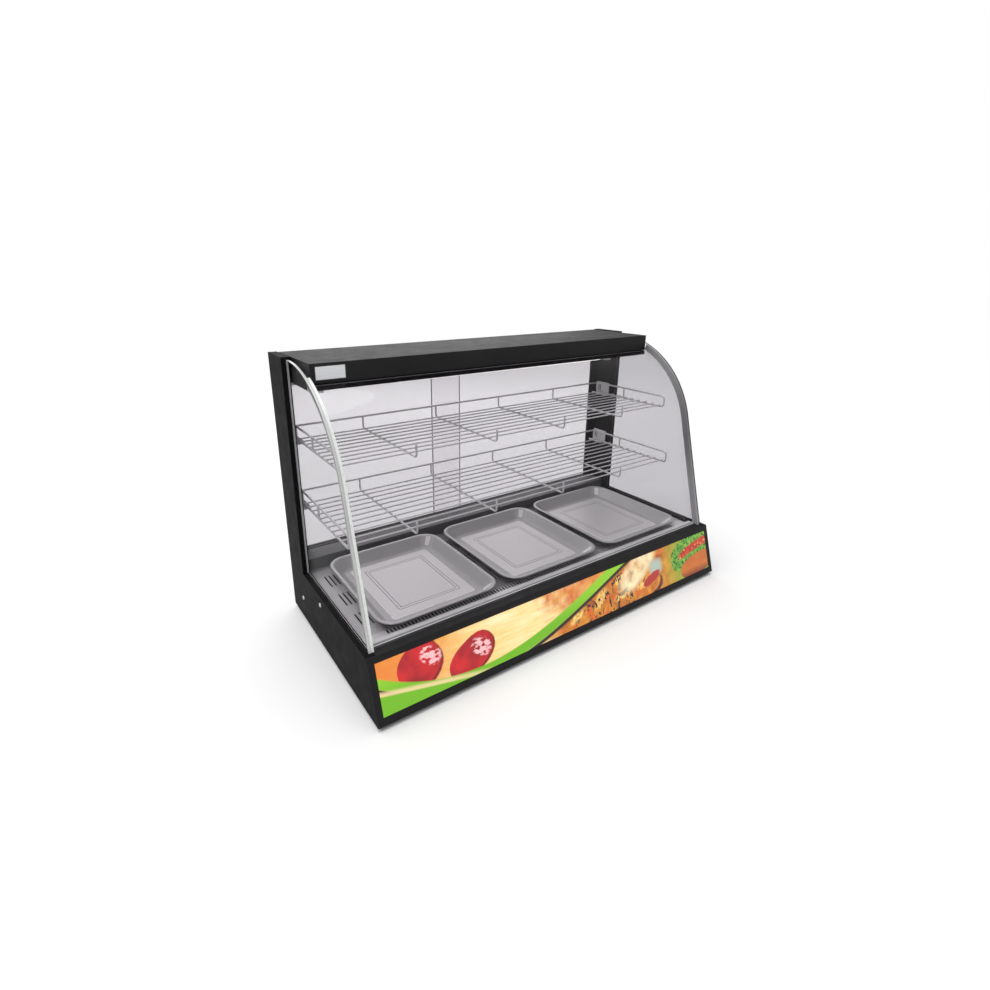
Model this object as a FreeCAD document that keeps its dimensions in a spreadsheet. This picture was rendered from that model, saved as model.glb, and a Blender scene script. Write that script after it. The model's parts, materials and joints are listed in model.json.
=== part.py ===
import FreeCAD, Part
import math
import os
import re

import Sketcher

# Hot food display case: a heated counter-top showcase with a curved glass front, open shelves and rear sliding doors.
# The origin is on the floor under the middle of the case. +X is the customer's right, +Y the operator's side, +Z up.
# Heights in the sizes are from the underside of the base; every sub-part is placed foot_high above the floor.

SIZES = {
    # overall
    "width": 900, "depth": 439, "height": 556, "foot_high": 8, "gap": 0.2, "metal": 1.2, "skin": 1.6,
    # base and its sloped front
    "base_high": 113, "lean": 33.5, "side_wide": 16.4, "column_deep": 86, "rim_deep": 17,
    "window_edge": 11.9, "window_low": 13.4, "window_top": 101.3, "lip_low": 80, "bottom_return": 20,
    "foot_x": 395, "foot_y": 165, "foot_radius": 15, "side_screw": 5.5, "screw_deep": 8,
    # light box behind the printed sheet
    "box_back": -166, "box_roof": 98, "box_floor": 10, "box_half": 432, "lamp_radius": 8,
    "box_lamp_half": 400, "box_lamp_y": -184, "box_lamp_z": 55, "box_holder": 12,
    # curved glass: one arc with a straight run below it, the same for both side glasses
    "glass_radius": 237, "glass_centre_y": 124, "glass_centre_z": 313.6, "glass_lean": 0.268,
    "pane": 5, "glass_inset": 9, "bead_deep": 14, "bead_wide": 5, "channel_deep": 23.8, "channel_high": 9,
    # canopy
    "canopy_half": 430, "canopy_front": 36.3, "canopy_low": 506, "canopy_drop": 1, "clip_deep": 11.7,
    "canopy_back": 218.3, "glass_bite": 6, "joint_front": 150, "joint_back": 205, "joint_low": 515, "joint_top": 545,
    "lamp_half": 380, "lamp_y": 130, "lamp_drop": 10, "holder_wide": 16, "holder_deep": 12,
    "badge_left": -422, "badge_right": -365, "badge_low": 524.5, "badge_top": 551, "badge_thick": 0.8,
    # deck and heater pan
    "deck_top": 105.2, "deck_front": -144.4, "deck_back": 151.8, "slot_wide": 3.4, "slot_long": 46, "slot_pitch": 8.7,
    "slot_rows": 79, "slot_columns": 262.8, "slot_first_y": -69,
    "pan_half": 420, "pan_front": -142, "pan_back": 148, "pan_low": 32, "pan_metal": 1,
    "ledge_front": -140, "ledge_back": 130,
    "grille_wide": 4, "grille_long": 12, "grille_pitch": 7, "grille_y": -127.5, "grille_half": 385,
    # heating element
    "rod": 8, "rod_z": 56, "rod_bend": 35, "rod_turn": 345, "rod_end": 428, "support_long": 125, "support_pitch": 250,
    # rear sill, top track and sliding doors
    "sill_top": 131.5, "sill_low": 100, "sill_back": 218.2, "groove": 6.6, "groove_deep": 9.5,
    "inner_track": 199.5, "outer_track": 210.5, "track_low": 492, "track_front": 190.5, "track_back": 217,
    "door_low": 122.4, "door_top": 500, "door_left_edge": -26, "door_right_edge": -97, "stile": 14,
    "stile_wall": 1.5,
    # trays
    "tray_x": 254.8, "tray_y": 282.9, "tray_high": 20.8, "tray_pitch": 272.7, "tray_middle": -2.5,
    "tray_metal": 0.8, "rim_flat": 7.4, "rim_thick": 2.5, "tray_slope": 18.3, "tray_corner": 38,
    # wire racks
    "rack_half": 420, "rack_back": 182, "nose_reach": 12, "wire": 4.4, "cross_wire": 4, "thin_wire": 3,
    "rack_rise": 26, "cross_pitch": 178.5, "first_wire": 10, "last_wire": 18, "wire_bend": 7, "rack_rib": 85,
    "upper_rack": 386.7, "upper_first": -280, "upper_end": -44,
    "lower_rack": 249, "lower_first": -296, "lower_end": -68,
    # rack brackets
    "bracket_back": 194, "bracket_front": 150, "bracket_metal": 1.5, "bracket_reach": 413.6, "bracket_rise": 30,
    "bracket_nib": 3, "bracket_slot": 3, "bracket_slot_y": 180, "bracket_screw": 7, "bracket_screw_y": 157,
    # rear control panel
    "panel_face": 205, "panel_top": 99.8, "control_z": 52, "knob_x": 250, "knob_wide": 34, "spindle": 6,
    "dial_radius": 27, "control_half": 20, "control_tall": 16, "control_front": 170, "spindle_front": 191,
    "louvre_wide": 4, "louvre_low": 30, "louvre_top": 74, "louvre_first": -260, "louvre_pitch": 12,
    "power_x": 150, "light_x": 90, "switch_wide": 14, "switch_tall": 22, "rocker_lean": 7,
    "switch_front": 181, "rocker_room": 192, "pivot": 1.5, "lens": 4, "bezel": 6, "lens_front": 192,
    "lens_x": 40, "lens_pitch": 40,
    "gland_x": -340, "gland_z": 40, "gland_bore": 4.2, "gland_barrel": 8, "gland_nut": 12,
    "terminal_x": -300, "terminal_half": 30, "terminal_front": 160, "terminal_back": 180, "terminal_top": 22,
}

doc = FreeCAD.newDocument("hot_food_display_case")
sheet = doc.addObject("Spreadsheet::Sheet", "Sizes")
for row, (alias, value) in enumerate(SIZES.items(), start=1):
    sheet.set(f"A{row}", str(value))
    sheet.setAlias(f"A{row}", alias)
doc.recompute()

AXES = {"XY_Plane": 1, "YZ_Plane": 1, "XZ_Plane": -1}
subparts = []


def bound(expression):
    """The expression with every size name pointed at the sheet."""
    return re.sub(r"[a-z][a-z_]*(?!\w*\()", lambda name: "Sizes." + name.group(0), str(expression))


def size(expression):
    """The expression's value now."""
    return float(sheet.evalExpression(bound(expression)))


def both(side, inner, outer):
    """The low and high X of a piece between two distances from the middle, on the left (-1) or the right (+1)."""
    if side > 0:
        return f"({inner})", f"({outer})"
    return f"-({outer})", f"-({inner})"


def keep(thing, label):
    """Name a sub-part and stand it on its feet."""
    thing.Label = label
    thing.setExpression("Placement.Base.z", bound("foot_high"))
    subparts.append(thing)
    return thing


def loose(label):
    """A body that a group will hold."""
    return doc.addObject("PartDesign::Body", label)


def body(label):
    return keep(loose(label), label)


def sketch(owner, plane, offset):
    """A sketch on one of the body's own origin planes, at an offset along that plane's normal."""
    made = owner.newObject("Sketcher::SketchObject", owner.Name + "_sketch")
    made.AttachmentSupport = [([o for o in owner.Origin.OriginFeatures if o.Role == plane][0], "")]
    made.MapMode = "FlatFace"
    made.setExpression("AttachmentOffset.Base.z", bound(offset))
    return made


def pin(made, geometry, point, x, y):
    """Hold one point of a sketch at the coordinates that two expressions give."""
    for kind, value in (("DistanceX", x), ("DistanceY", y)):
        index = made.addConstraint(Sketcher.Constraint(kind, -1, 1, geometry, point, size(value)))
        made.setExpression(f"Constraints[{index}]", bound(value))


def draw(made, outline):
    """A closed outline. Each corner is (x, y), or (x, y, radius, turn) when an arc leads to the next corner."""
    spots = [FreeCAD.Vector(size(c[0]), size(c[1]), 0) for c in outline]
    ends = []
    for index, corner in enumerate(outline):
        start, stop = spots[index], spots[(index + 1) % len(spots)]
        if len(corner) == 2:
            ends.append((made.addGeometry(Part.LineSegment(start, stop), False), 1, 2))
            continue
        radius, turn = size(corner[2]), corner[3]
        half = (stop - start) / 2
        side = FreeCAD.Vector(-half.y, half.x, 0).normalize() * turn
        centre = start + half + side * math.sqrt(max(radius ** 2 - half.Length ** 2, 0))
        first, last = (start, stop) if turn > 0 else (stop, start)
        angles = [math.atan2(p.y - centre.y, p.x - centre.x) for p in (first, last)]
        circle = Part.Circle(centre, FreeCAD.Vector(0, 0, 1), radius)
        arc = made.addGeometry(Part.ArcOfCircle(circle, *angles), False)
        index = made.addConstraint(Sketcher.Constraint("Radius", arc, radius))
        made.setExpression(f"Constraints[{index}]", bound(corner[2]))
        ends.append((arc, 1, 2) if turn > 0 else (arc, 2, 1))
    for index, corner in enumerate(outline):
        piece, start, stop = ends[index]
        following = ends[(index + 1) % len(ends)]
        made.addConstraint(Sketcher.Constraint("Coincident", piece, stop, following[0], following[1]))
        pin(made, piece, start, corner[0], corner[1])


def ring(made, x, y, radius):
    circle = Part.Circle(FreeCAD.Vector(size(x), size(y), 0), FreeCAD.Vector(0, 0, 1), size(radius))
    index = made.addGeometry(circle, False)
    pin(made, index, 3, x, y)
    constraint = made.addConstraint(Sketcher.Constraint("Radius", index, size(radius)))
    made.setExpression(f"Constraints[{constraint}]", bound(radius))


def box_outline(x_low, x_high, y_low, y_high):
    return [(x_low, y_low), (x_high, y_low), (x_high, y_high), (x_low, y_high)]


def round_box(x_long, y_long, corner):
    """A rounded rectangle about the origin."""
    x, y, x_in, y_in = f"{x_long} / 2", f"{y_long} / 2", f"{x_long} / 2 - {corner}", f"{y_long} / 2 - {corner}"
    return [(f"-({x_in})", f"-({y})"), (x_in, f"-({y})", corner, 1), (x, f"-({y_in})"), (x, y_in, corner, 1),
            (x_in, y), (f"-({x_in})", y, corner, 1), (f"-({x})", y_in), (f"-({x})", f"-({y_in})", corner, 1)]


def fill(made, outlines, rings):
    for outline in outlines:
        draw(made, outline)
    for x, y, radius in rings:
        ring(made, x, y, radius)


def pad(owner, plane, low, high, outlines=(), rings=()):
    """Material between two coordinates along the plane's own axis."""
    made = sketch(owner, plane, low if AXES[plane] > 0 else f"-({high})")
    fill(made, outlines, rings)
    feature = owner.newObject("PartDesign::Pad", owner.Name + "_pad")
    feature.Profile = made
    feature.setExpression("Length", bound(f"({high}) - ({low})"))
    made.Visibility = False
    return feature


def cut(owner, plane, low, high, outlines=(), rings=()):
    """Material taken away between two coordinates along the plane's own axis."""
    made = sketch(owner, plane, high if AXES[plane] > 0 else f"-({low})")
    fill(made, outlines, rings)
    doc.recompute()
    before = owner.Shape.Volume
    feature = owner.newObject("PartDesign::Pocket", owner.Name + "_cut")
    feature.Profile = made
    feature.setExpression("Length", bound(f"({high}) - ({low})"))
    doc.recompute()
    if not owner.Shape.Volume < before - 1e-6:
        raise RuntimeError(f"{owner.Label}: a cut took nothing away")
    return feature


def repeat(owner, feature, counts, spacings):
    """The feature again along the sketch's X, and along its Y where a second count is given."""
    pattern = owner.newObject("PartDesign::LinearPattern", owner.Name + "_pattern")
    pattern.Originals = [feature]
    pattern.Direction = (feature.Profile[0], ["H_Axis"])
    pattern.Mode = "Spacing"
    pattern.Occurrences = counts[0]
    pattern.setExpression("Offset", bound(spacings[0]))
    if len(counts) > 1:
        pattern.Direction2 = (feature.Profile[0], ["V_Axis"])
        pattern.Mode2 = "Spacing"
        pattern.Occurrences2 = counts[1]
        pattern.setExpression("Offset2", bound(spacings[1]))
    doc.recompute()
    before = feature.Shape.Volume
    owner.Tip = pattern
    doc.recompute()
    if not abs(owner.Shape.Volume - before) > 1e-6:
        raise RuntimeError(f"{owner.Label}: the pattern changed nothing")


def block(label, x, y, z):
    """A plain block between pairs of coordinates, as one extruded rectangle."""
    made = body(label)
    pad(made, "XY_Plane", z[0], z[1], [box_outline(x[0], x[1], y[0], y[1])])
    return made


def group(label, pieces):
    """Identical loose pieces that share one name."""
    made = doc.addObject("Part::Compound", label)
    made.Links = pieces
    return keep(made, label)


def brick(x, y, z):
    """One block of a group, not a sub-part by itself."""
    made = doc.addObject("Part::Box", "block")
    for name, low, high, place in (("Length", *x, "x"), ("Width", *y, "y"), ("Height", *z, "z")):
        made.setExpression(name, bound(f"({high}) - ({low})"))
        made.setExpression("Placement.Base." + place, bound(low))
    return made


TURNS = {"x": FreeCAD.Rotation(FreeCAD.Vector(0, 1, 0), 90), "z": FreeCAD.Rotation(),
         "y": FreeCAD.Rotation(FreeCAD.Vector(1, 0, 0), -90)}


def rod(axis, start, length, radius):
    """One round bar of a group, from its start along an axis."""
    made = doc.addObject("Part::Cylinder", "round")
    made.Placement = FreeCAD.Placement(FreeCAD.Vector(), TURNS[axis])
    made.setExpression("Radius", bound(radius))
    made.setExpression("Height", bound(length))
    for place, value in zip("xyz", start):
        made.setExpression("Placement.Base." + place, bound(value))
    return made


def shaped(label, shape):
    """A sub-part whose shape is swept or welded from wire."""
    made = doc.addObject("Part::Feature", label)
    made.Shape = shape
    return keep(made, label)


def bend_arc(before, corner, after, bend):
    """The arc that rounds a corner, touching the runs on both sides of it."""
    back = (before - corner).normalize()
    ahead = (after - corner).normalize()
    half = back.getAngle(ahead) / 2
    centre = corner + (back + ahead).normalize() * (bend / math.sin(half))
    middle = centre + (corner - centre).normalize() * bend
    return corner + back * (bend / math.tan(half)), middle, corner + ahead * (bend / math.tan(half))


def bent_wire(points, thickness, bend, closed=False):
    """Round wire along straight runs joined by tangent arcs, open or as a closed loop."""
    corners = [FreeCAD.Vector(*p) for p in points]
    turns = list(zip(corners, corners[1:], corners[2:]))
    if closed:
        turns = list(zip(corners[-1:] + corners, corners, corners[1:] + corners[:1]))
    arcs = [bend_arc(*turn, bend) for turn in turns]
    here = arcs[-1][2] if closed else corners[0]
    edges = []
    for start, middle, stop in arcs:
        edges.append(Part.LineSegment(here, start).toShape())
        edges.append(Part.Arc(start, middle, stop).toShape())
        here = stop
    if not closed:
        edges.append(Part.LineSegment(here, corners[-1]).toShape())
    first, second = (vertex.Point for vertex in edges[0].Vertexes)
    section = Part.Wire(Part.makeCircle(thickness / 2, first, second - first))
    return Part.Wire(edges).makePipeShell([section], True, True)


# Outlines that several pieces share.

HALF = "width / 2"
INSIDE = "(width / 2 - side_wide)"
BACK = "depth / 2"
COLUMN = "(depth / 2 - column_deep)"
ROOT = "sqrt(1 + glass_lean * glass_lean)"


def front(z, inset):
    """Y of the sloped front at a height, moved inward."""
    return f"(-depth / 2 + lean * ({z}) / base_high + {inset})"


def tangent(offset):
    """Where the glass changes from straight to curved, for a surface set inward by an offset."""
    reach = f"(glass_radius - ({offset}))"
    return f"(glass_centre_y - {reach} / {ROOT})", f"(glass_centre_z + {reach} * glass_lean / {ROOT})"


def straight(offset, z):
    y_low, z_low = tangent(offset)
    return f"({y_low} - ({z_low} - ({z})) * glass_lean)"


def crown(offset, y):
    """Height of the curved part of the glass above a Y."""
    return (f"(glass_centre_z + sqrt((glass_radius - ({offset})) * (glass_radius - ({offset}))"
            f" - (glass_centre_y - ({y})) * (glass_centre_y - ({y}))))")


def curved_strip(outer, inner, foot, end):
    """The outline of a curved sheet between two offsets, from a foot height to a Y, cut square across its end."""
    fall = f"((glass_radius - ({inner})) / (glass_radius - ({outer})))"
    end_y = f"(glass_centre_y - (glass_centre_y - ({end})) * {fall})"
    end_z = f"(glass_centre_z + ({crown(outer, end)} - glass_centre_z) * {fall})"
    return [(straight(outer, foot), foot), (*tangent(outer), f"glass_radius - ({outer})", -1),
            (end, crown(outer, end)), (end_y, end_z, f"glass_radius - ({inner})", 1),
            tangent(inner), (straight(inner, foot), foot)]


# Base shell.

TRAY_FRONT = front("bottom_return", "skin + gap")
SIDE_SCREWS = (("146", "51"), ("33.3", "94.5"))
SPARE_HOLE = ("187", "48", "2.5")


def side_panel(side, name):
    """One folded sheet: the base side and the rear column, open towards the middle, with an inner lip at the rim."""
    low, high = both(side, INSIDE, HALF)
    panel = body("side_panel_" + name)
    pad(panel, "YZ_Plane", low, high, [[
        (front("0", "skin"), "0"), (front("base_high", "skin"), "base_high"), (COLUMN, "base_high"),
        (COLUMN, "height"), (BACK, "height"), (BACK, "0")]])
    hollow_low, hollow_high = both(side, INSIDE, f"{HALF} - metal")
    cut(panel, "YZ_Plane", hollow_low, hollow_high, [[
        (front("metal", "skin + metal"), "metal"), (front("base_high - metal", "skin + metal"), "base_high - metal"),
        (f"{COLUMN} + metal", "base_high - metal"), (f"{COLUMN} + metal", "height - metal"),
        (f"{BACK} - metal", "height - metal"), (f"{BACK} - metal", "metal")]])
    lip_low, lip_high = both(side, INSIDE, f"{INSIDE} + metal")
    pad(panel, "YZ_Plane", lip_low, lip_high, [box_outline(
        front("base_high", "skin + 2 * metal"), COLUMN, "lip_low", "base_high - metal / 2")])
    skin_low, skin_high = both(side, f"{HALF} - 2 * metal", f"{HALF} + 1")
    cut(panel, "YZ_Plane", skin_low, skin_high,
        rings=[(y, z, "side_screw / 2 + 0.1") for y, z in SIDE_SCREWS] + [SPARE_HOLE])


def column_cover(side, name):
    """The flat sheet that closes a column on the inside and carries the rack brackets."""
    low, high = both(side, INSIDE, f"{INSIDE} + metal")
    cover = body("column_cover_" + name)
    pad(cover, "YZ_Plane", low, high, [box_outline(
        f"{COLUMN} + metal + 0.1", f"{BACK} - metal - 0.1", "sill_low", "height - metal - 0.1")])


def front_frame():
    """The sloped front with its window, and the rim folded back from its top edge."""
    frame = body("front_frame")
    pad(frame, "YZ_Plane", f"-({HALF})", HALF, [[
        (front("0", "0"), "0"), (front("base_high", "0"), "base_high"), (front("base_high", "skin"), "base_high"),
        (front("0", "skin"), "0")]])
    pad(frame, "YZ_Plane", f"-({INSIDE} - gap)", f"{INSIDE} - gap", [[
        (front("0", "skin / 2"), "0"), (front("metal", "skin / 2"), "metal"), (TRAY_FRONT, "metal"),
        (TRAY_FRONT, "0")]])
    rim_back = front("base_high", "rim_deep")
    pad(frame, "YZ_Plane", f"-({INSIDE} - gap)", f"{INSIDE} - gap", [[
        (front("base_high", "skin / 2"), "base_high"), (rim_back, "base_high"), (rim_back, "panel_top"),
        (f"{rim_back} - metal", "panel_top"), (f"{rim_back} - metal", "base_high - metal"),
        (front("base_high - metal", "skin / 2"), "base_high - metal")]])
    cut(frame, "XZ_Plane", f"-({BACK}) - 5", f"-({BACK}) + lean + 5", [box_outline(
        f"-({HALF} - window_edge)", f"{HALF} - window_edge", "window_low", "window_top")])


def graphic_panel():
    """The printed acrylic sheet that fills the window."""
    low, high = "window_low + gap", "window_top - gap"
    panel = body("graphic_panel")
    pad(panel, "YZ_Plane", f"-({HALF} - window_edge - gap)", f"{HALF} - window_edge - gap", [[
        (front(low, "0.3"), low), (front(high, "0.3"), high), (front(high, "skin"), high), (front(low, "skin"), low)]])


def light_box():
    """The white reflector behind the printed sheet, its tube and the two holders."""
    reflector = body("light_box_reflector")
    pad(reflector, "YZ_Plane", "-box_half", "box_half", [[
        (front("box_floor", "skin + gap"), "box_floor"), ("box_back + metal", "box_floor"),
        ("box_back + metal", "box_roof"), (front("box_roof", "skin + gap"), "box_roof"),
        (front("box_roof - metal", "skin + gap"), "box_roof - metal"), ("box_back", "box_roof - metal"),
        ("box_back", "box_floor + metal"), (front("box_floor + metal", "skin + gap"), "box_floor + metal")]])
    tube = body("light_box_tube")
    pad(tube, "YZ_Plane", "-box_lamp_half", "box_lamp_half", rings=[("box_lamp_y", "box_lamp_z", "lamp_radius")])
    holders = [brick(both(side, "box_lamp_half", "box_lamp_half + box_holder"),
                     ("box_lamp_y - lamp_radius - 2", "box_back"),
                     ("box_lamp_z - lamp_radius - 2", "box_lamp_z + lamp_radius + 2")) for side in (-1, 1)]
    group("light_box_tube_holders", holders)


def base_tray():
    """The bottom sheet, turned up at both sides, with cooling slots."""
    tray = body("base_tray")
    edge = f"({INSIDE} - gap)"
    pad(tray, "XZ_Plane", f"{TRAY_FRONT} + gap", "panel_face - metal - gap", [[
        (f"-{edge}", "0"), (edge, "0"), (edge, "bottom_return"), (f"{edge} - metal", "bottom_return"),
        (f"{edge} - metal", "metal"), (f"-{edge} + metal", "metal"), (f"-{edge} + metal", "bottom_return"),
        (f"-{edge}", "bottom_return")]])
    slot = cut(tray, "XY_Plane", "-1", "metal + 1", [box_outline("-280", "-274", "60", "130")])
    repeat(tray, slot, [24], ["24"])


def feet():
    group("rubber_feet", [rod("z", (f"{x} * foot_x", f"{y} * foot_y", "-foot_high"), "foot_high", "foot_radius")
                          for x in (-1, 1) for y in (-1, 1)])


def side_screws():
    screws = []
    for side in (-1, 1):
        low, high = both(side, f"{HALF} - screw_deep", HALF)
        for y, z in SIDE_SCREWS:
            screws.append(rod("x", (low, y, z), f"({high}) - ({low})", "side_screw / 2"))
    group("side_screws", screws)


# Heated floor.


def heater_pan():
    """The pan under the deck. Its flange carries the deck, and two holes let the element's ends out."""
    edge, top = f"({INSIDE} - gap)", "(deck_top - metal)"
    pan = body("heater_pan")
    pad(pan, "XY_Plane", "pan_low", top, [box_outline("-pan_half", "pan_half", "pan_front", "pan_back")])
    pad(pan, "XY_Plane", f"{top} - pan_metal", top, [box_outline(f"-{edge}", edge, "deck_front", "deck_back - gap")])
    cut(pan, "XY_Plane", "pan_low + pan_metal", "deck_top", [box_outline(
        "-(pan_half - pan_metal)", "pan_half - pan_metal", "pan_front + pan_metal", "pan_back - pan_metal")])
    ends = [(f"{turn} * 3 * rod_bend", "rod_z", "rod / 2 + 0.5") for turn in (-1, 1)]
    cut(pan, "YZ_Plane", "-pan_half - 1", "-pan_half + 2", rings=ends)


def heating_element():
    """One sheathed rod, laid in four passes with three round turns."""
    bend, turn, z = size("rod_bend"), size("rod_turn"), size("rod_z")
    end = size("rod_end")
    path = [(-end, -3 * bend, z), (turn + bend, -3 * bend, z), (turn + bend, -bend, z), (-turn - bend, -bend, z),
            (-turn - bend, bend, z), (turn + bend, bend, z), (turn + bend, 3 * bend, z), (-end, 3 * bend, z)]
    shaped("heating_element", bent_wire(path, size("rod"), bend - 0.01))
    supports = [brick((f"{place} * support_pitch - pan_metal", f"{place} * support_pitch + pan_metal"),
                      ("-support_long", "support_long"), ("pan_low + pan_metal", "rod_z - rod / 2"))
                for place in (-1, 0, 1)]
    group("heating_element_supports", supports)


def deck_ledges():
    """Two angles on the side panels under the flange of the heater pan."""
    top = "(deck_top - metal - pan_metal)"
    angles = []
    for side in (-1, 1):
        low, high = both(side, f"{INSIDE} - metal", INSIDE)
        angle = loose(f"deck_ledge_{side}")
        pad(angle, "YZ_Plane", low, high, [box_outline("ledge_front", "ledge_back", "lip_low + 2", top)])
        low, high = both(side, "pan_half + 2", INSIDE)
        pad(angle, "YZ_Plane", low, high, [box_outline("ledge_front", "ledge_back", f"{top} - metal", top)])
        angles.append(angle)
    group("deck_ledges", angles)


def deck():
    """The slotted stainless floor that the trays stand on."""
    edge, low = f"({INSIDE} - gap)", "(deck_top - metal)"
    plate = body("deck_plate")
    pad(plate, "XY_Plane", low, "deck_top", [box_outline(f"-{edge}", edge, "deck_front", "deck_back - gap")])
    slots = []
    for index in range(5):
        middle = f"(-1.5 * slot_columns + {index - 2} * slot_pitch)"
        slots.append(box_outline(f"{middle} - slot_wide / 2", f"{middle} + slot_wide / 2",
                                 "slot_first_y - slot_long / 2", "slot_first_y + slot_long / 2"))
    first = cut(plate, "XY_Plane", f"{low} - 1", "deck_top + 1", slots)
    repeat(plate, first, [4, 3], ["slot_columns", "slot_rows"])
    opening = cut(plate, "XY_Plane", f"{low} - 1", "deck_top + 1", [box_outline(
        "-grille_half - grille_wide / 2", "-grille_half + grille_wide / 2",
        "grille_y - grille_long / 2", "grille_y + grille_long / 2")])
    repeat(plate, opening, [round(size("2 * grille_half / grille_pitch")) + 1], ["grille_pitch"])


def front_channel():
    """The bright strip along the front of the deck, with the slot that the curved glass stands in."""
    low, top = "(base_high - channel_high)", "base_high"
    start = front("base_high", "rim_deep + gap")
    slot = "(base_high - channel_high + 1)"
    outer, inner = "bead_deep - 0.3", "bead_deep + pane + 0.3"
    channel = body("front_glass_channel")
    pad(channel, "YZ_Plane", f"-({INSIDE} - gap)", f"{INSIDE} - gap", [[
        (start, low), (start, top), (straight(outer, top), top), (straight(outer, slot), slot),
        (straight(inner, slot), slot), (straight(inner, top), top), (f"{start} + channel_deep", top),
        (f"{start} + channel_deep", low)]])


# Glass.


def side_glass(side, name):
    low, high = both(side, f"{HALF} - glass_inset - pane", f"{HALF} - glass_inset")
    top = "glass_centre_z + glass_radius"
    glass = body("side_glass_" + name)
    pad(glass, "YZ_Plane", low, high, [[
        (straight("0", "base_high"), "base_high"), (*tangent("0"), "glass_radius", -1), ("glass_centre_y", top),
        (COLUMN, top), (COLUMN, "base_high")]])


def corner_bead(side, name):
    """The clear bead in the corner between the side glass and the front glass."""
    inner = f"({HALF} - glass_inset - pane)"
    low, high = both(side, f"{inner} - bead_wide", inner)
    bead = body("corner_bead_" + name)
    pad(bead, "YZ_Plane", low, high, [curved_strip("0", "bead_deep - gap", "base_high", "canopy_front - 3")])


def front_glass():
    """The curved pane, from its channel to the clip under the canopy's front, notched where it enters both."""
    edge = f"({HALF} - glass_inset - pane - 0.3)"
    glass = body("front_glass")
    pad(glass, "YZ_Plane", f"-{edge}", edge, [curved_strip(
        "bead_deep", "bead_deep + pane", "base_high - channel_high + 1.2", "canopy_front + glass_bite")])
    foot = box_outline("-depth / 2", COLUMN, "0", "base_high + 1")
    head = box_outline("canopy_front - 1", COLUMN, "canopy_low - 10", "height")
    for side in (-1, 1):
        low, high = both(side, f"{INSIDE} - 1", f"{edge} + 1")
        cut(glass, "YZ_Plane", low, high, [foot])
        low, high = both(side, "canopy_half - metal - 1", f"{edge} + 1")
        cut(glass, "YZ_Plane", low, high, [head])


# Canopy.


def canopy():
    """The folded shell, open below, and the pieces that close and carry it."""
    top = "(height - canopy_drop)"
    edge = "(canopy_half - metal)"
    shell = body("canopy_shell")
    pad(shell, "XY_Plane", "canopy_low", top, [box_outline(
        "-canopy_half", "canopy_half", "canopy_front", "canopy_back")])
    cut(shell, "XY_Plane", "canopy_low", f"{top} - metal", [box_outline(
        f"-{edge}", edge, "canopy_front + metal", "canopy_back - metal")])
    cut(shell, "XZ_Plane", "canopy_front", "canopy_front + metal", [box_outline(
        "-canopy_half", "canopy_half", "canopy_low", crown("bead_deep - 0.4", "canopy_front + metal"))])
    clip_back = "(canopy_front + clip_deep)"
    clip = body("front_glass_clip")
    pad(clip, "YZ_Plane", f"-{edge} + gap", f"{edge} - gap", [[
        ("canopy_front", "canopy_low"), ("canopy_front", crown("bead_deep + pane + 0.3", "canopy_front")),
        (clip_back, crown("bead_deep + pane + 0.3", clip_back)), (clip_back, "canopy_low")]])
    block("canopy_soffit", (f"-{edge} + gap", f"{edge} - gap"), (f"{clip_back} + gap", "canopy_back - metal - gap"),
          ("canopy_low", "canopy_low + metal"))
    group("canopy_brackets", [brick(both(side, "canopy_half", INSIDE), ("joint_front", "joint_back"),
                                    ("joint_low", "joint_top")) for side in (-1, 1)])
    tube = body("canopy_lamp_tube")
    pad(tube, "YZ_Plane", "-lamp_half", "lamp_half", rings=[("lamp_y", "canopy_low - lamp_drop", "lamp_radius")])
    group("canopy_lamp_holders", [brick(both(side, "lamp_half", "lamp_half + holder_wide"),
                                        ("lamp_y - holder_deep", "lamp_y + holder_deep"),
                                        ("canopy_low - 2 * lamp_drop", "canopy_low")) for side in (-1, 1)])
    block("badge_plate", ("badge_left", "badge_right"), ("canopy_front - badge_thick", "canopy_front"),
          ("badge_low", "badge_top"))


# Rear doors.


def grooves(bottom, top):
    """The two door grooves of a track, as outlines in the YZ plane."""
    return [box_outline(f"{track} - groove / 2", f"{track} + groove / 2", bottom, top)
            for track in ("inner_track", "outer_track")]


def tracks():
    edge = f"({INSIDE} - gap)"
    sill = body("rear_sill")
    pad(sill, "YZ_Plane", f"-{edge}", edge, [box_outline("deck_back", "sill_back", "sill_low", "sill_top")])
    cut(sill, "YZ_Plane", f"-{edge}", edge, grooves("sill_top - groove_deep", "sill_top + 1")
        + [box_outline("deck_back + 2 * metal", "inner_track - groove / 2 - 2 * metal", "sill_low + 2 * metal",
                       "sill_top - 2 * metal")])
    track = body("upper_door_track")
    pad(track, "YZ_Plane", f"-{edge}", edge, [box_outline("track_front", "track_back", "track_low", "canopy_low")])
    cut(track, "YZ_Plane", f"-{edge}", edge, grooves("track_low - 1", "canopy_low - 2"))


def door(name, track, x_low, x_high, stile_side):
    """A sliding pane and the edge channel that it is pulled by."""
    pane_y = (f"{track} - pane / 2", f"{track} + pane / 2")
    block("door_" + name, (x_low, x_high), pane_y, ("door_low", "door_top"))
    low, high = (x_low, f"{x_low} + stile") if stile_side < 0 else (f"{x_high} - stile", x_high)
    shell_low, shell_high = (f"({low}) - stile_wall", high) if stile_side < 0 else (low, f"({high}) + stile_wall")
    pull = body("door_pull_" + name)
    wall_low, wall_high = f"{track} - pane / 2 - stile_wall", f"{track} + pane / 2 + stile_wall"
    pad(pull, "XY_Plane", "sill_top + 1", "track_low - 1", [box_outline(shell_low, shell_high, wall_low, wall_high)])
    cut(pull, "XY_Plane", "sill_top", "track_low", [box_outline(low, high, pane_y[0], pane_y[1])])


# Trays and racks.


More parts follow.
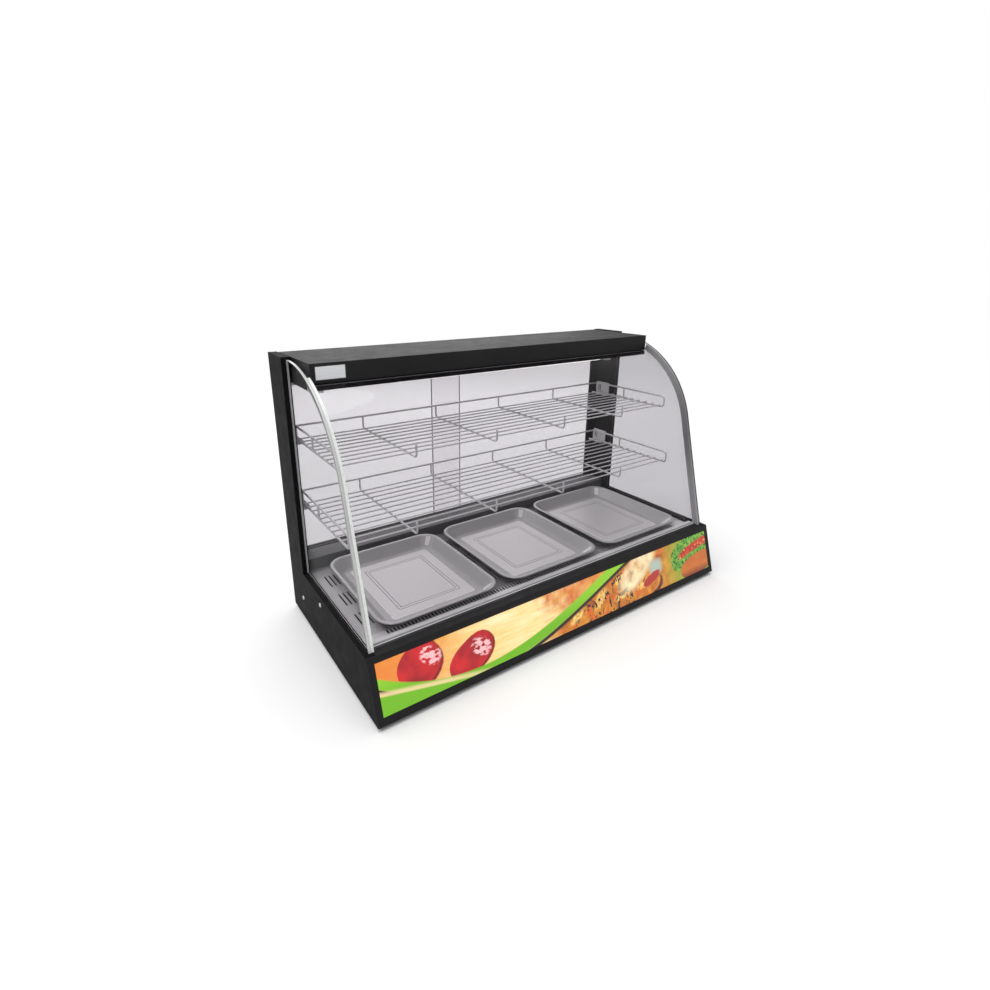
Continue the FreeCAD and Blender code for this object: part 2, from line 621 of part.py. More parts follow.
def tray(index):
    """A shallow pressed tray with sloping walls and a flat rim."""
    made = body(f"tray_{index + 1}")
    floor = ("(tray_x - 2 * rim_flat - 2 * tray_slope)", "(tray_y - 2 * rim_flat - 2 * tray_slope)")
    mouth = ("(tray_x - 2 * rim_flat)", "(tray_y - 2 * rim_flat)")
    for kind, grow, low in (("Additive", "2 * tray_metal", "0"), ("Subtractive", "0", "tray_metal")):
        sections = []
        for (x_long, y_long), corner, z in ((floor, "(tray_corner - 18)", low),
                                            (mouth, "(tray_corner - 7)", "tray_high")):
            section = sketch(made, "XY_Plane", z)
            draw(section, round_box(f"({x_long} + {grow})", f"({y_long} + {grow})", corner))
            sections.append(section)
        loft = made.newObject(f"PartDesign::{kind}Loft", f"{made.Name}_{kind}")
        loft.Profile = sections[0]
        loft.Sections = sections[1:]
    doc.recompute()
    pad(made, "XY_Plane", "tray_high - rim_thick", "tray_high", [
        round_box("tray_x", "tray_y", "tray_corner"), round_box(*mouth, "(tray_corner - 7)")])
    made.setExpression("Placement.Base.x", bound(f"{index - 1} * tray_pitch"))
    made.setExpression("Placement.Base.y", bound("tray_middle"))
    made.setExpression("Placement.Base.z", bound("foot_high + deck_top + 0.3"))


def rack(name, wire_count):
    """A welded wire rack: the bent frame, and the long wires that lie on it."""
    level, end = f"{name}_rack", f"{name}_end"
    half, back, first, side_nose = (size(n) for n in ("rack_half", "rack_back", f"{name}_first", end))
    wire, cross, bend, rise = (size(n) for n in ("wire", "cross_wire", "wire_bend", "rack_rise"))
    nose = side_nose - size("nose_reach")
    low, top = size(level), size(level) + rise
    rail = Part.makeCylinder(wire / 2 - 0.1, 2 * half, FreeCAD.Vector(-half, back, top), FreeCAD.Vector(1, 0, 0))
    pieces = []
    for side in (-half, half):
        loop = [(side, back, top), (side, back, low), (side, side_nose, low), (side, side_nose, top)]
        pieces.append(bent_wire(loop, wire, bend, closed=True))
        pieces.append(Part.makeCylinder(cross / 2, rise, FreeCAD.Vector(side, size("rack_rib"), low)))
    for index in range(4):
        x = first + index * size("cross_pitch")
        hook = [(x, back, top), (x, back, low), (x, nose, low), (x, nose, top - 2)]
        pieces.append(bent_wire(hook, cross, bend))
    shaped(f"rack_{name}_frame", rail.fuse(pieces).removeSplitter())
    height = f"{level} + wire / 2 + thin_wire / 2 - 0.1"
    run = f"(rack_back - {end} - first_wire - last_wire)"
    wires = [rod("x", ("-rack_half - 1", f"{end} + first_wire + {index} * {run} / {wire_count - 1}", height),
                 "2 * rack_half + 2", "thin_wire / 2") for index in range(wire_count)]
    group(f"rack_{name}_wires", wires)


def rack_brackets(name):
    """A hooked and slotted bracket on each column that an end of the rack drops into. Its screws are handed back."""
    ledge = f"({name}_rack - wire / 2 - 0.3)"
    brackets, screws = [], []
    for side in (-1, 1):
        wall, plate, tip, nib = (f"{side} * ({distance})" for distance in (
            INSIDE, f"{INSIDE} - bracket_metal", "bracket_reach", "bracket_reach + bracket_metal"))
        under, over = f"{ledge} - bracket_metal", f"{ledge} + bracket_rise"
        bracket = loose(f"rack_{name}_bracket_{side}")
        pad(bracket, "XZ_Plane", "bracket_front", "bracket_back", [[
            (wall, under), (wall, over), (plate, over), (plate, ledge), (nib, ledge), (nib, f"{ledge} + bracket_nib"),
            (tip, f"{ledge} + bracket_nib"), (tip, under)]])
        low, high = both(side, f"{INSIDE} - bracket_metal - 1", f"{INSIDE} + 1")
        slot = cut(bracket, "YZ_Plane", low, high, [box_outline(
            "bracket_slot_y", "bracket_slot_y + bracket_slot", f"{ledge} + 2 * bracket_nib", f"{over} - bracket_nib")])
        repeat(bracket, slot, [2], ["2 * bracket_slot"])
        brackets.append(bracket)
        low, high = both(side, f"{INSIDE} - bracket_metal - 2", f"{INSIDE} - bracket_metal")
        for place in range(2):
            screws.append(rod("x", (low, f"bracket_screw_y + {place} * 2 * bracket_screw", f"{ledge} + 18"),
                              f"({high}) - ({low})", "bracket_screw / 2"))
    group(f"rack_{name}_brackets", brackets)
    return screws


# Rear controls.


def rear_panel():
    panel = body("rear_panel")
    edge = f"({INSIDE} - gap)"
    pad(panel, "XZ_Plane", "panel_face - metal", "panel_face", [box_outline(f"-{edge}", edge, "metal", "panel_top")])
    windows = [box_outline(f"{x} - switch_wide / 2", f"{x} + switch_wide / 2", "control_z - switch_tall / 2",
                           "control_z + switch_tall / 2") for x in ("power_x", "light_x")]
    holes = [("knob_x", "control_z", "spindle / 2 + 1.5"), ("gland_x", "gland_z", "gland_barrel + gap")]
    holes += [(f"lens_x - {index} * lens_pitch", "control_z", "lens + gap") for index in range(2)]
    cut(panel, "XZ_Plane", "panel_face - metal - 1", "panel_face + 1", windows, holes)
    louvre = cut(panel, "XZ_Plane", "panel_face - metal - 1", "panel_face + 1", [box_outline(
        "louvre_first", "louvre_first + louvre_wide", "louvre_low", "louvre_top")])
    repeat(panel, louvre, [14], ["louvre_pitch"])


def thermostat():
    """The control behind the panel, its dial plate, and the knob on its spindle."""
    control = block("thermostat_body", ("knob_x - control_half", "knob_x + control_half"),
                    ("control_front", "panel_face - metal"), ("control_z - control_tall", "control_z + control_tall"))
    cut(control, "XZ_Plane", "spindle_front - 1", "panel_face", rings=[("knob_x", "control_z", "spindle / 2 + 0.3")])
    dial = body("thermostat_dial")
    pad(dial, "XZ_Plane", "panel_face", "panel_face + 0.6", rings=[
        ("knob_x", "control_z", "dial_radius"), ("knob_x", "control_z", "spindle / 2 + 1.5")])
    spindle = body("thermostat_spindle")
    pad(spindle, "XZ_Plane", "spindle_front", "panel_face + 9", rings=[("knob_x", "control_z", "spindle / 2")])
    knob = body("thermostat_knob")
    pad(knob, "XZ_Plane", "panel_face + 1.5", "panel_face + 10", rings=[("knob_x", "control_z", "knob_wide / 2")])
    pad(knob, "XZ_Plane", "panel_face + 9", "panel_face + 14", [box_outline(
        "knob_x - 4", "knob_x + 4", "control_z - knob_wide / 2 + 1", "control_z + knob_wide / 2 - 1")])
    cut(knob, "XZ_Plane", "panel_face", "panel_face + 9", rings=[("knob_x", "control_z", "spindle / 2")])


def rocker_switch(name, x):
    """A switch housing snapped into the panel, and the rocker that tips inside it."""
    wide, tall = "(switch_wide / 2 - 0.2)", "(switch_tall / 2 - 0.2)"
    housing = body(f"{name}_switch_housing")
    pad(housing, "XZ_Plane", "switch_front", "panel_face + 0.1", [box_outline(
        f"{x} - {wide}", f"{x} + {wide}", f"control_z - {tall}", f"control_z + {tall}")])
    pad(housing, "XZ_Plane", "panel_face", "panel_face + 2", [box_outline(
        f"{x} - {wide} - 2.5", f"{x} + {wide} + 2.5", f"control_z - {tall} - 2.5", f"control_z + {tall} + 2.5")])
    cut(housing, "XZ_Plane", "rocker_room", "panel_face + 3", [box_outline(
        f"{x} - {wide} + 1", f"{x} + {wide} - 1", f"control_z - {tall} + 1", f"control_z + {tall} - 1")])
    reach = "(switch_wide / 2 - 0.4)"
    cut(housing, "YZ_Plane", f"{x} - {reach}", f"{x} + {reach}", rings=[("panel_face", "control_z", "pivot + 0.05")])
    rocker = body(f"{name}_switch_rocker")
    pad(rocker, "YZ_Plane", f"-{wide} + 1.5", f"{wide} - 1.5", [[
        ("-6", "-3"), ("4.6", "-8.6"), ("3.2", "0"), ("4.6", "8.6"), ("-6", "3")]])
    pad(rocker, "YZ_Plane", f"-{reach} + gap", f"{reach} - gap", rings=[("0", "0", "pivot")])
    rocker.Placement.Rotation = FreeCAD.Rotation(FreeCAD.Vector(1, 0, 0), -size("rocker_lean"))
    rocker.setExpression("Placement.Base.x", bound(x))
    rocker.setExpression("Placement.Base.y", bound("panel_face"))
    rocker.setExpression("Placement.Base.z", bound("foot_high + control_z"))


def small_controls():
    for index, name in enumerate(("power", "heating")):
        lamp = body(f"{name}_indicator")
        x = f"(lens_x - {index} * lens_pitch)"
        pad(lamp, "XZ_Plane", "lens_front", "panel_face + 0.1", rings=[(x, "control_z", "lens")])
        pad(lamp, "XZ_Plane", "panel_face", "panel_face + 4", rings=[(x, "control_z", "bezel")])
    gland = body("cord_inlet_gland")
    pad(gland, "XZ_Plane", "panel_face - 9", "panel_face + 12", rings=[("gland_x", "gland_z", "gland_barrel")])
    pad(gland, "XZ_Plane", "panel_face", "panel_face + 5", rings=[("gland_x", "gland_z", "gland_nut")])
    cut(gland, "XZ_Plane", "panel_face - 10", "panel_face + 13", rings=[("gland_x", "gland_z", "gland_bore")])
    block("terminal_block", ("terminal_x - terminal_half", "terminal_x + terminal_half"),
          ("terminal_front", "terminal_back"), ("metal", "terminal_top"))


for hand, label in ((-1, "left"), (1, "right")):
    side_panel(hand, label)
    column_cover(hand, label)
    side_glass(hand, label)
    corner_bead(hand, label)
front_frame()
graphic_panel()
light_box()
base_tray()
feet()
side_screws()
heater_pan()
heating_element()
deck_ledges()
deck()
front_channel()
front_glass()
canopy()
tracks()
door("left", "inner_track", f"-{INSIDE} + gap + stile_wall", "door_left_edge", -1)
door("right", "outer_track", "door_right_edge", f"{INSIDE} - gap - stile_wall", 1)
for number in range(3):
    tray(number)
rack("upper", 10)
rack("lower", 11)
group("rack_bracket_screws", rack_brackets("upper") + rack_brackets("lower"))
rear_panel()
thermostat()
rocker_switch("power", "power_x")
rocker_switch("light", "light_x")
small_controls()
doc.recompute()

failed = [thing.Label for thing in doc.Objects if "Invalid" in thing.State or "Error" in thing.State]
failed += [thing.Label for thing in subparts if thing.Shape.isNull() or not thing.Shape.isValid()]
if failed:
    raise RuntimeError("not built: " + ", ".join(failed))

os.makedirs("parts", exist_ok=True)
for thing in subparts:
    thing.Shape.exportStep(os.path.join("parts", thing.Label + ".step"))
print(len(subparts), "sub-parts written")
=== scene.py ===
import json
import math
from functools import partial

import bmesh
import bpy
from mathutils import Matrix, Vector


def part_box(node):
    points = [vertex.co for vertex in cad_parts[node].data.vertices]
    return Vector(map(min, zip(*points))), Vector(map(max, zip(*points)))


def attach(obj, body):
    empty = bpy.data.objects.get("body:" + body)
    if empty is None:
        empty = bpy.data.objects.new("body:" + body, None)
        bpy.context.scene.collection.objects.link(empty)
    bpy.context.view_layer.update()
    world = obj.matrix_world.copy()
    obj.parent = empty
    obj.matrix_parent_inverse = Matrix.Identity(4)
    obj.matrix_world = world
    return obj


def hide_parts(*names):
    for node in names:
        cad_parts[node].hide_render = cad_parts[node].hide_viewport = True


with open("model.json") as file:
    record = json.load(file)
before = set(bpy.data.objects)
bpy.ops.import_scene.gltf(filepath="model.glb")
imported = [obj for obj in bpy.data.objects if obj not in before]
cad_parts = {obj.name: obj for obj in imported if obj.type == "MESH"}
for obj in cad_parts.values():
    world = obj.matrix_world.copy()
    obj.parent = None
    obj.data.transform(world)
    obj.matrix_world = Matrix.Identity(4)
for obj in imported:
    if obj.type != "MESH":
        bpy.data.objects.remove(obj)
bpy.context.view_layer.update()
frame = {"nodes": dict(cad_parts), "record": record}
MM = 0.001


def give(thing, **values):
    """The thing, with its named values set."""
    for name, value in values.items():
        setattr(thing, name, value)
    return thing


def add(name, data):
    """A new object in the scene."""
    thing = bpy.data.objects.new(name, data)
    bpy.context.scene.collection.objects.link(thing)
    return thing


# Camera and light.


def make_camera():
    """The camera stands at the customer's left, above the canopy, looking down at the trays."""
    spot = Vector((-0.7225, -0.8973, 0.7108))
    yaw, pitch, roll = math.radians(34.38), math.radians(17.94), math.radians(0.27)
    forward = Vector((math.sin(yaw) * math.cos(pitch), math.cos(yaw) * math.cos(pitch), -math.sin(pitch)))
    right = Vector((math.cos(yaw), -math.sin(yaw), 0))
    up = right.cross(forward)
    turned_right = right * math.cos(roll) + up * math.sin(roll)
    turned_up = up * math.cos(roll) - right * math.sin(roll)
    camera = add("camera", bpy.data.cameras.new("camera"))
    rotation = Matrix((turned_right, turned_up, -forward)).transposed()
    camera.matrix_world = Matrix.Translation(spot) @ rotation.to_4x4()
    give(camera.data, sensor_width=36, lens=20.15, shift_x=0.0176, shift_y=-0.0431, clip_start=0.01)
    bpy.context.scene.camera = camera


def area_light(name, spot, target, size, power):
    data = give(bpy.data.lights.new(name, "AREA"), shape="RECTANGLE", size=size[0], size_y=size[1], energy=power)
    light = add(name, data)
    light.location = spot
    light.rotation_euler = (Vector(target) - Vector(spot)).to_track_quat("-Z", "Y").to_euler()


DIFFUSE_DROP, GLOSSY_DROP = 0.62, 0.45


def make_light():
    """White surroundings, dimmer for what they light than for the eye, one wide soft sun and two softboxes."""
    world = bpy.data.worlds.new("studio")
    bpy.context.scene.world = world
    world.use_nodes = True
    background = world.node_tree.nodes["Background"]
    background.inputs["Color"].default_value = (1, 1, 1, 1)
    path = world.node_tree.nodes.new("ShaderNodeLightPath")
    dimmed = [map_range(world, path.outputs[depth], 0, 1, 1, 1 - drop)
              for depth, drop in (("Diffuse Depth", DIFFUSE_DROP), ("Glossy Depth", GLOSSY_DROP))]
    world.node_tree.links.new(calc(world, "MULTIPLY", *dimmed), background.inputs["Strength"])
    sun = give(bpy.data.lights.new("soft_sun", "SUN"), energy=2.5, angle=math.radians(70))
    add("soft_sun", sun).rotation_euler = (math.radians(-8), math.radians(-12), 0)
    area_light("front_softbox", (-1.7, -1.6, 1.9), (0, 0, 0.2), (1.0, 1.0), 7)
    area_light("back_softbox", (0.9, 2.2, 1.3), (0, 0, 0.2), (2.2, 1.0), 10)
    bpy.context.scene.view_settings.view_transform = "Standard"


def make_floor():
    bpy.ops.mesh.primitive_circle_add(vertices=96, radius=30, fill_type="NGON", location=(0, 0, 0))
    floor = bpy.context.object
    floor.name = "floor"
    floor.data.materials.append(new_material("floor", (0.88, 0.88, 0.88), 0.9, Specular_IOR_Level=0.1))


# Numbers and colours worked out inside a material.


def new_material(name, colour, roughness, **more):
    """A material of constant values. More gives other inputs of its shader, with _ for the spaces in their names."""
    material = bpy.data.materials.new(name)
    material.use_nodes = True
    shader = material.node_tree.nodes["Principled BSDF"]
    shader.inputs["Base Color"].default_value = (*colour, 1)
    shader.inputs["Roughness"].default_value = roughness
    for socket, value in more.items():
        shader.inputs[socket.replace("_", " ")].default_value = value
    return material


def feed(material, socket, value):
    """Gives an input of the material's shader a value that nodes work out."""
    material.node_tree.links.new(value, material.node_tree.nodes["Principled BSDF"].inputs[socket])


def own_coordinates(material):
    """The piece's own coordinates, as one vector and as X, Y and Z."""
    nodes = material.node_tree.nodes
    vector, split = nodes.new("ShaderNodeTexCoord").outputs["Object"], nodes.new("ShaderNodeSeparateXYZ")
    material.node_tree.links.new(vector, split.inputs["Vector"])
    return vector, tuple(split.outputs)


def noise(material, scale, stretch=(1, 1, 1), detail=3.0, rough=0.5, distort=0.0):
    """Noise over the piece's own coordinates, with features of about 1 / scale metres."""
    nodes, links = material.node_tree.nodes, material.node_tree.links
    mapping, texture = nodes.new("ShaderNodeMapping"), nodes.new("ShaderNodeTexNoise")
    mapping.inputs["Scale"].default_value = stretch
    for socket, value in (("Scale", scale), ("Detail", detail), ("Roughness", rough), ("Distortion", distort)):
        texture.inputs[socket].default_value = value
    links.new(nodes.new("ShaderNodeTexCoord").outputs["Object"], mapping.inputs["Vector"])
    links.new(mapping.outputs["Vector"], texture.inputs["Vector"])
    return texture.outputs["Fac"]


def map_range(owner, value, lowest, highest, first, last, kind="LINEAR"):
    """The value's way from lowest to highest, as a number from first to last. The owner is a material or a world."""
    node = owner.node_tree.nodes.new("ShaderNodeMapRange")
    node.interpolation_type = kind
    for socket, number in (("From Min", lowest), ("From Max", highest), ("To Min", first), ("To Max", last)):
        node.inputs[socket].default_value = number
    owner.node_tree.links.new(value, node.inputs["Value"])
    return node.outputs["Result"]


def calc(owner, operation, *values):
    """One math node. Each value is a number or a socket."""
    node = owner.node_tree.nodes.new("ShaderNodeMath")
    node.operation = operation
    for socket, value in zip(node.inputs, values):
        if isinstance(value, (int, float)):
            socket.default_value = value
        else:
            owner.node_tree.links.new(value, socket)
    return node.outputs[0]


def span(material, value, low, high):
    """A noise value, which keeps between 0.3 and 0.7, spread between two numbers."""
    return map_range(material, value, 0.3, 0.7, low, high)


def below(material, value, edge, soft=0.01):
    """1 where the value is under the edge and 0 where it is over, with a soft change between."""
    return map_range(material, calc(material, "SUBTRACT", value, edge), -soft, soft, 1, 0, "SMOOTHSTEP")


def layer(material, base, colour, mask):
    """A colour laid over another where the mask is 1. Each colour is three numbers or a socket."""
    node = material.node_tree.nodes.new("ShaderNodeMix")
    node.data_type = "RGBA"
    sockets = [socket for socket in node.inputs if socket.type == "RGBA"]
    for socket, value in zip(sockets, (base, colour)):
        if isinstance(value, tuple):
            socket.default_value = (*value, 1)
        else:
            material.node_tree.links.new(value, socket)
    material.node_tree.links.new(mask, node.inputs["Factor"])
    return [socket for socket in node.outputs if socket.type == "RGBA"][0]


def tint(material, value, first, second):
    """A colour between two, by a noise value."""
    return layer(material, first, second, span(material, value, 0, 1))


def recolour(material, colour, mask):
    """Lays a colour over the base colour that nodes give the material so far."""
    worn = material.node_tree.nodes["Principled BSDF"].inputs["Base Color"].links[0].from_socket
    feed(material, "Base Color", layer(material, worn, colour, mask))


def wander(material, scale, low, high, detail=3.0):
    """A roughness that wanders between two numbers over the piece."""
    feed(material, "Roughness", span(material, noise(material, scale, detail=detail), low, high))


def bump(material, height, strength, distance=0.0001):
    node = material.node_tree.nodes.new("ShaderNodeBump")
    node.inputs["Strength"].default_value = strength
    node.inputs["Distance"].default_value = distance
    material.node_tree.links.new(height, node.inputs["Height"])
    feed(material, "Normal", node.outputs["Normal"])


# Materials.


def coated(name, colour, roughness=0.45, gloss=0.5):
    """Powder coat: a fine orange peel, slightly uneven gloss and a few pale rubbed streaks."""
    material = new_material(name, colour, roughness, Specular_IOR_Level=gloss)
    lighter = tuple(c * 1.2 + 0.001 for c in colour)
    rubbed = tuple(c * 1.5 + 0.004 for c in colour)
    streaks = below(material, noise(material, 30, (0.3, 1, 1), detail=6, rough=0.7), 0.3, 0.05)
    feed(material, "Base Color", tint(material, noise(material, 9), colour, lighter))
    recolour(material, rubbed, streaks)
    wander(material, 40, roughness - 0.05, roughness + 0.05)
    bump(material, noise(material, 1400, detail=1), 0.12, 0.0002)
    return material


def brushed(name, colour, roughness=0.34, grain=(0.02, 1, 1), strength=0.12, metallic=1.0):
    """Brushed metal: fine scratches along one axis, in the colour, the gloss and the relief."""
    material = new_material(name, colour, roughness, Metallic=metallic)
    scratches = noise(material, 900, grain, detail=4, rough=0.7)
    darker = tuple(c * 0.86 for c in colour)
    feed(material, "Base Color", tint(material, scratches, darker, colour))
    wander(material, 14, roughness - 0.05, roughness + 0.06)
    bump(material, scratches, strength)
    return material


def deck_metal(name, dark, light, front):
    """The stainless deck, one steel with its tone painted: darker round and between the trays as painted shade, paler
    past them at the ends and along the front as painted light.
    """
    material = brushed(name, dark, 0.45, metallic=0.2)
    _, (x, y, _) = own_coordinates(material)
    first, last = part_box("tray_1"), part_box("tray_3")
    soft, under_rim, lit_front_strip = 4 * MM, 12 * MM, 22 * MM
    # painted light on the ends past the trays, over a base colour that is painted shade
    ends = calc(material, "MAXIMUM", below(material, x, first[0].x + under_rim, soft),
                below(material, calc(material, "MULTIPLY", x, -1), -last[1].x + under_rim, soft))
    recolour(material, light, calc(material, "MULTIPLY", ends, span(material, noise(material, 10), 0.8, 1)))
    # painted light along the front
    recolour(material, front, below(material, y, first[0].y + lit_front_strip, soft))
    return material


def channel_metal(name, colour, coat):
    """The bright front channel, black-coated on the lip that stands in front of the glass."""
    material = brushed(name, colour, 0.42, (0.02, 1, 1), 0.1, 0.1)
    _, (_, y, _) = own_coordinates(material)
    recolour(material, coat, below(material, y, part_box("front_glass")[0].y - 0.1 * MM, 0.2 * MM))
    return material


def clear(name, colour, ior=1.2):
    """Bloomed glass with a trace of haze from handling. Lamps shine straight through it."""
    material = new_material(name, colour, 0, Transmission_Weight=1, IOR=ior)
    nodes, links = material.node_tree.nodes, material.node_tree.links
    wander(material, 22, 0, 0.003, detail=6)
    path, open_way, choice = (nodes.new("ShaderNode" + kind) for kind in ("LightPath", "BsdfTransparent", "MixShader"))
    open_way.inputs["Color"].default_value = (0.93, 0.93, 0.93, 1)
    links.new(path.outputs["Is Shadow Ray"], choice.inputs[0])
    links.new(nodes["Principled BSDF"].outputs[0], choice.inputs[1])
    links.new(open_way.outputs[0], choice.inputs[2])
    links.new(choice.outputs[0], nodes["Material Output"].inputs["Surface"])
    return material


def ground_edge(name, colour, darker, through=0.25, coat=0.4):
    """The ground edge of a pane, or a bead: light scattered inside it, with the wheel's fine marks."""
    material = new_material(name, colour, 0.3, Transmission_Weight=through, Coat_Weight=coat)
    marks = noise(material, 500, (1, 0.2, 0.2), detail=4)
    feed(material, "Base Color", tint(material, noise(material, 12), colour, darker))
    feed(material, "Roughness", span(material, marks, 0.22, 0.4))
    bump(material, marks, 0.1)
    return material


def bead(name, light, dark):
    """A silicone bead with painted shade: darker half way up the glass."""
    material = new_material(name, light, 0.35, Transmission_Weight=0.15)
    lowest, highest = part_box("corner_bead_right")
    _, (_, _, z) = own_coordinates(material)
    middle = lowest.z * 0.45 + highest.z * 0.55
    away = calc(material, "ABSOLUTE", calc(material, "SUBTRACT", z, middle))
    # painted shade: the band half way up is darker
    thick = below(material, away, (highest.z - lowest.z) * 0.26, 0.12)
    feed(material, "Base Color", layer(material, light, dark, thick))
    recolour(material, light, calc(material, "MULTIPLY", noise(material, 30), 0.25))
    wander(material, 60, 0.28, 0.42)
    return material


def moulded(name, colour, roughness=0.4):
    """Moulded plastic with a faint spark-eroded grain."""
    material = new_material(name, colour, roughness)
    lighter = tuple(min(1, c * 1.1 + 0.004) for c in colour)
    feed(material, "Base Color", tint(material, noise(material, 60), colour, lighter))
    wander(material, 90, roughness - 0.05, roughness + 0.06)
    bump(material, noise(material, 2600, detail=2), 0.2)
    return material


def glowing(name, colour, strength):
    """A frosted lamp glass or lens that gives a little light, brighter and duller in soft patches."""
    material = new_material(name, colour, 0.35, Emission_Strength=strength)
    duller = tuple(c * 0.9 for c in colour)
    shade = tint(material, noise(material, 25), duller, colour)
    feed(material, "Base Color", shade)
    feed(material, "Emission Color", shade)
    wander(material, 30, 0.28, 0.42)
    return material


# The printed panel's ground runs from orange through yellow to olive green: (share of the width, colour).
GROUND = ((0.0, (0.78, 0.22, 0.03)), (0.10, (0.80, 0.30, 0.05)), (0.24, (0.88, 0.58, 0.17)), (0.38, (0.90, 0.66, 0.22)),
          (0.50, (0.72, 0.24, 0.03)), (0.60, (0.80, 0.40, 0.06)), (0.70, (0.50, 0.42, 0.04)),
          (0.84, (0.34, 0.36, 0.025)), (1.0, (0.20, 0.28, 0.02)))
# Each shape on the panel is (place along the panel, height, half length, half height, turn in radians). The place is a
# share of the panel's length, taken as PANEL_LONG times its height, and the rest are in panel heights.
ROASTED = ((0.51, 0.14, 0.50, 0.26, 0.5), (0.59, 0.30, 0.55, 0.34, 0.7), (0.665, 0.20, 0.56, 0.28, 0.3),
           (0.745, 0.20, 0.56, 0.24, 0.15), (0.66, 0.58, 0.34, 0.20, 0.6))
VEGETABLES = ((0.088, 0.66, 0.48, 0.42, 0.6), (0.205, 0.42, 0.58, 0.33, 0.45))
PANEL_LONG, ROUNDNESS = 10, 2.4


def printed(name):
    """The back-lit picture on the front panel: warm food shapes in soft focus and a green ribbon, without words."""
    material = new_material(name, (1, 1, 1), 0.16, Emission_Strength=0.3)
    nodes, links = material.node_tree.nodes, material.node_tree.links
    of, over, under = partial(calc, material), partial(layer, material), partial(below, material)
    lowest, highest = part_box("graphic_panel")
    vector, (own_x, _, own_z) = own_coordinates(material)

    def share(value, low, high):
        return of("DIVIDE", of("SUBTRACT", value, low), high - low)

    u, v = share(own_x, lowest.x, highest.x), share(own_z, lowest.z, highest.z)
    # across is in the same unit as v, so that round shapes stay round
    across = of("MULTIPLY", u, (highest.x - lowest.x) / (highest.z - lowest.z))
    wobble = of("SUBTRACT", noise(material, 55, detail=4), 0.5)
    fine = of("SUBTRACT", noise(material, 160, detail=5, rough=0.65), 0.5)

    def overlap(first, *others):
        for mask in others:
            first = of("MULTIPLY", first, mask)
        return first

    def mottle(scale, low, high, **kinds):
        return span(material, noise(material, scale, **kinds), low, high)

    def spots(scale, edge, soft, **kinds):
        return under(noise(material, scale, **kinds), edge, soft)

    def over_edge(value, edge, soft=0.01):
        return of("SUBTRACT", 1, under(value, edge, soft))

    def paint(colour, *masks):
        nonlocal picture
        picture = over(picture, colour, overlap(*masks))

    def curve(first, *terms):
        for power, term in enumerate(terms, start=1):
            first = of("ADD", first, of("MULTIPLY", of("POWER", u, float(power)), term))
        return first

    def blob(x, y, wide, tall, rough=0.0, soft=0.06, turn=0.0):
        """A rounded shape, centred at a place along the panel, with a wavy outline where rough is over 0."""
        dx, dy = of("SUBTRACT", across, x * PANEL_LONG), of("SUBTRACT", v, y)
        c, s = math.cos(turn), math.sin(turn)
        along = of("ADD", of("MULTIPLY", dx, c), of("MULTIPLY", dy, s))
        beside = of("SUBTRACT", of("MULTIPLY", dy, c), of("MULTIPLY", dx, s))
        parts = [of("POWER", of("ABSOLUTE", of("DIVIDE", way, half)), ROUNDNESS)
                 for way, half in ((along, wide), (beside, tall))]
        far = of("ADD", *parts)
        return under(of("ADD", far, of("MULTIPLY", fine, rough)) if rough else far, 1, soft)

    # soft warm ground, with pale rays and a red-brown glow
    ground = nodes.new("ShaderNodeValToRGB")
    stops = ground.color_ramp.elements
    stops[0].position, stops[1].position = GROUND[0][0], GROUND[-1][0]
    stops[0].color, stops[1].color = (*GROUND[0][1], 1), (*GROUND[-1][1], 1)
    for position, colour in GROUND[1:-1]:
        stops.new(position).color = (*colour, 1)
    links.new(of("ADD", u, of("MULTIPLY", wobble, 0.12)), ground.inputs["Fac"])
    picture = ground.outputs["Color"]
    paint((0.98, 0.86, 0.52), mottle(55, -0.1, 0.9, stretch=(0.22, 1, 1.3), detail=5, rough=0.6, distort=0.5),
          under(of("ABSOLUTE", of("SUBTRACT", u, 0.34)), 0.15, 0.12))
    paint((0.62, 0.12, 0.015), blob(0.52, 1.0, 1.3, 0.5, 0.6, 0.4), mottle(45, -0.1, 1.0, detail=5))

    # roasted food, below and to the right of the ribbon: crisp gold, browned edges and charred lines
    ribbon = of("SUBTRACT", v, curve(0.62, -5.61, 14.75, -7.9))
    roast = nodes.new("ShaderNodeTexVoronoi")
    roast.inputs["Scale"].default_value = 46
    roast.inputs["Detail"].default_value = 2
    links.new(vector, roast.inputs["Vector"])
    browned = over((0.80, 0.34, 0.03), (0.38, 0.075, 0.008), mottle(38, 0, 1, detail=5))
    browned = over(browned, (0.88, 0.58, 0.12), under(roast.outputs["Distance"], 0.26, 0.12))
    browned = over(browned, (0.70, 0.13, 0.012), spots(65, 0.40, 0.05, detail=3))
    paint(browned, under(ribbon, 0, 0.02), over_edge(u, 0.41, 0.05), under(u, 0.84, 0.05))
    for x, y, wide, tall, turn in ROASTED:
        shadow = blob(x + 0.003, y - 0.03, wide * 1.05, tall * 1.1, 0.9, 0.16, turn)
        shine = blob(x - 0.012, y + 0.10, wide * 0.5, tall * 0.35, 1.6, 0.5, turn)
        paint((0.10, 0.018, 0.006), shadow)
        paint(browned, blob(x - 0.003, y + 0.02, wide, tall, 0.8, 0.2, turn))
        paint((0.95, 0.70, 0.22), shine, mottle(130, 0, 1, detail=4))
    paint((0.03, 0.009, 0.005), spots(85, 0.43, 0.02, stretch=(1, 1, 0.5), detail=5, distort=1.2),
          blob(0.62, 0.3, 1.35, 0.42, 0.8, 0.35, 0.3))
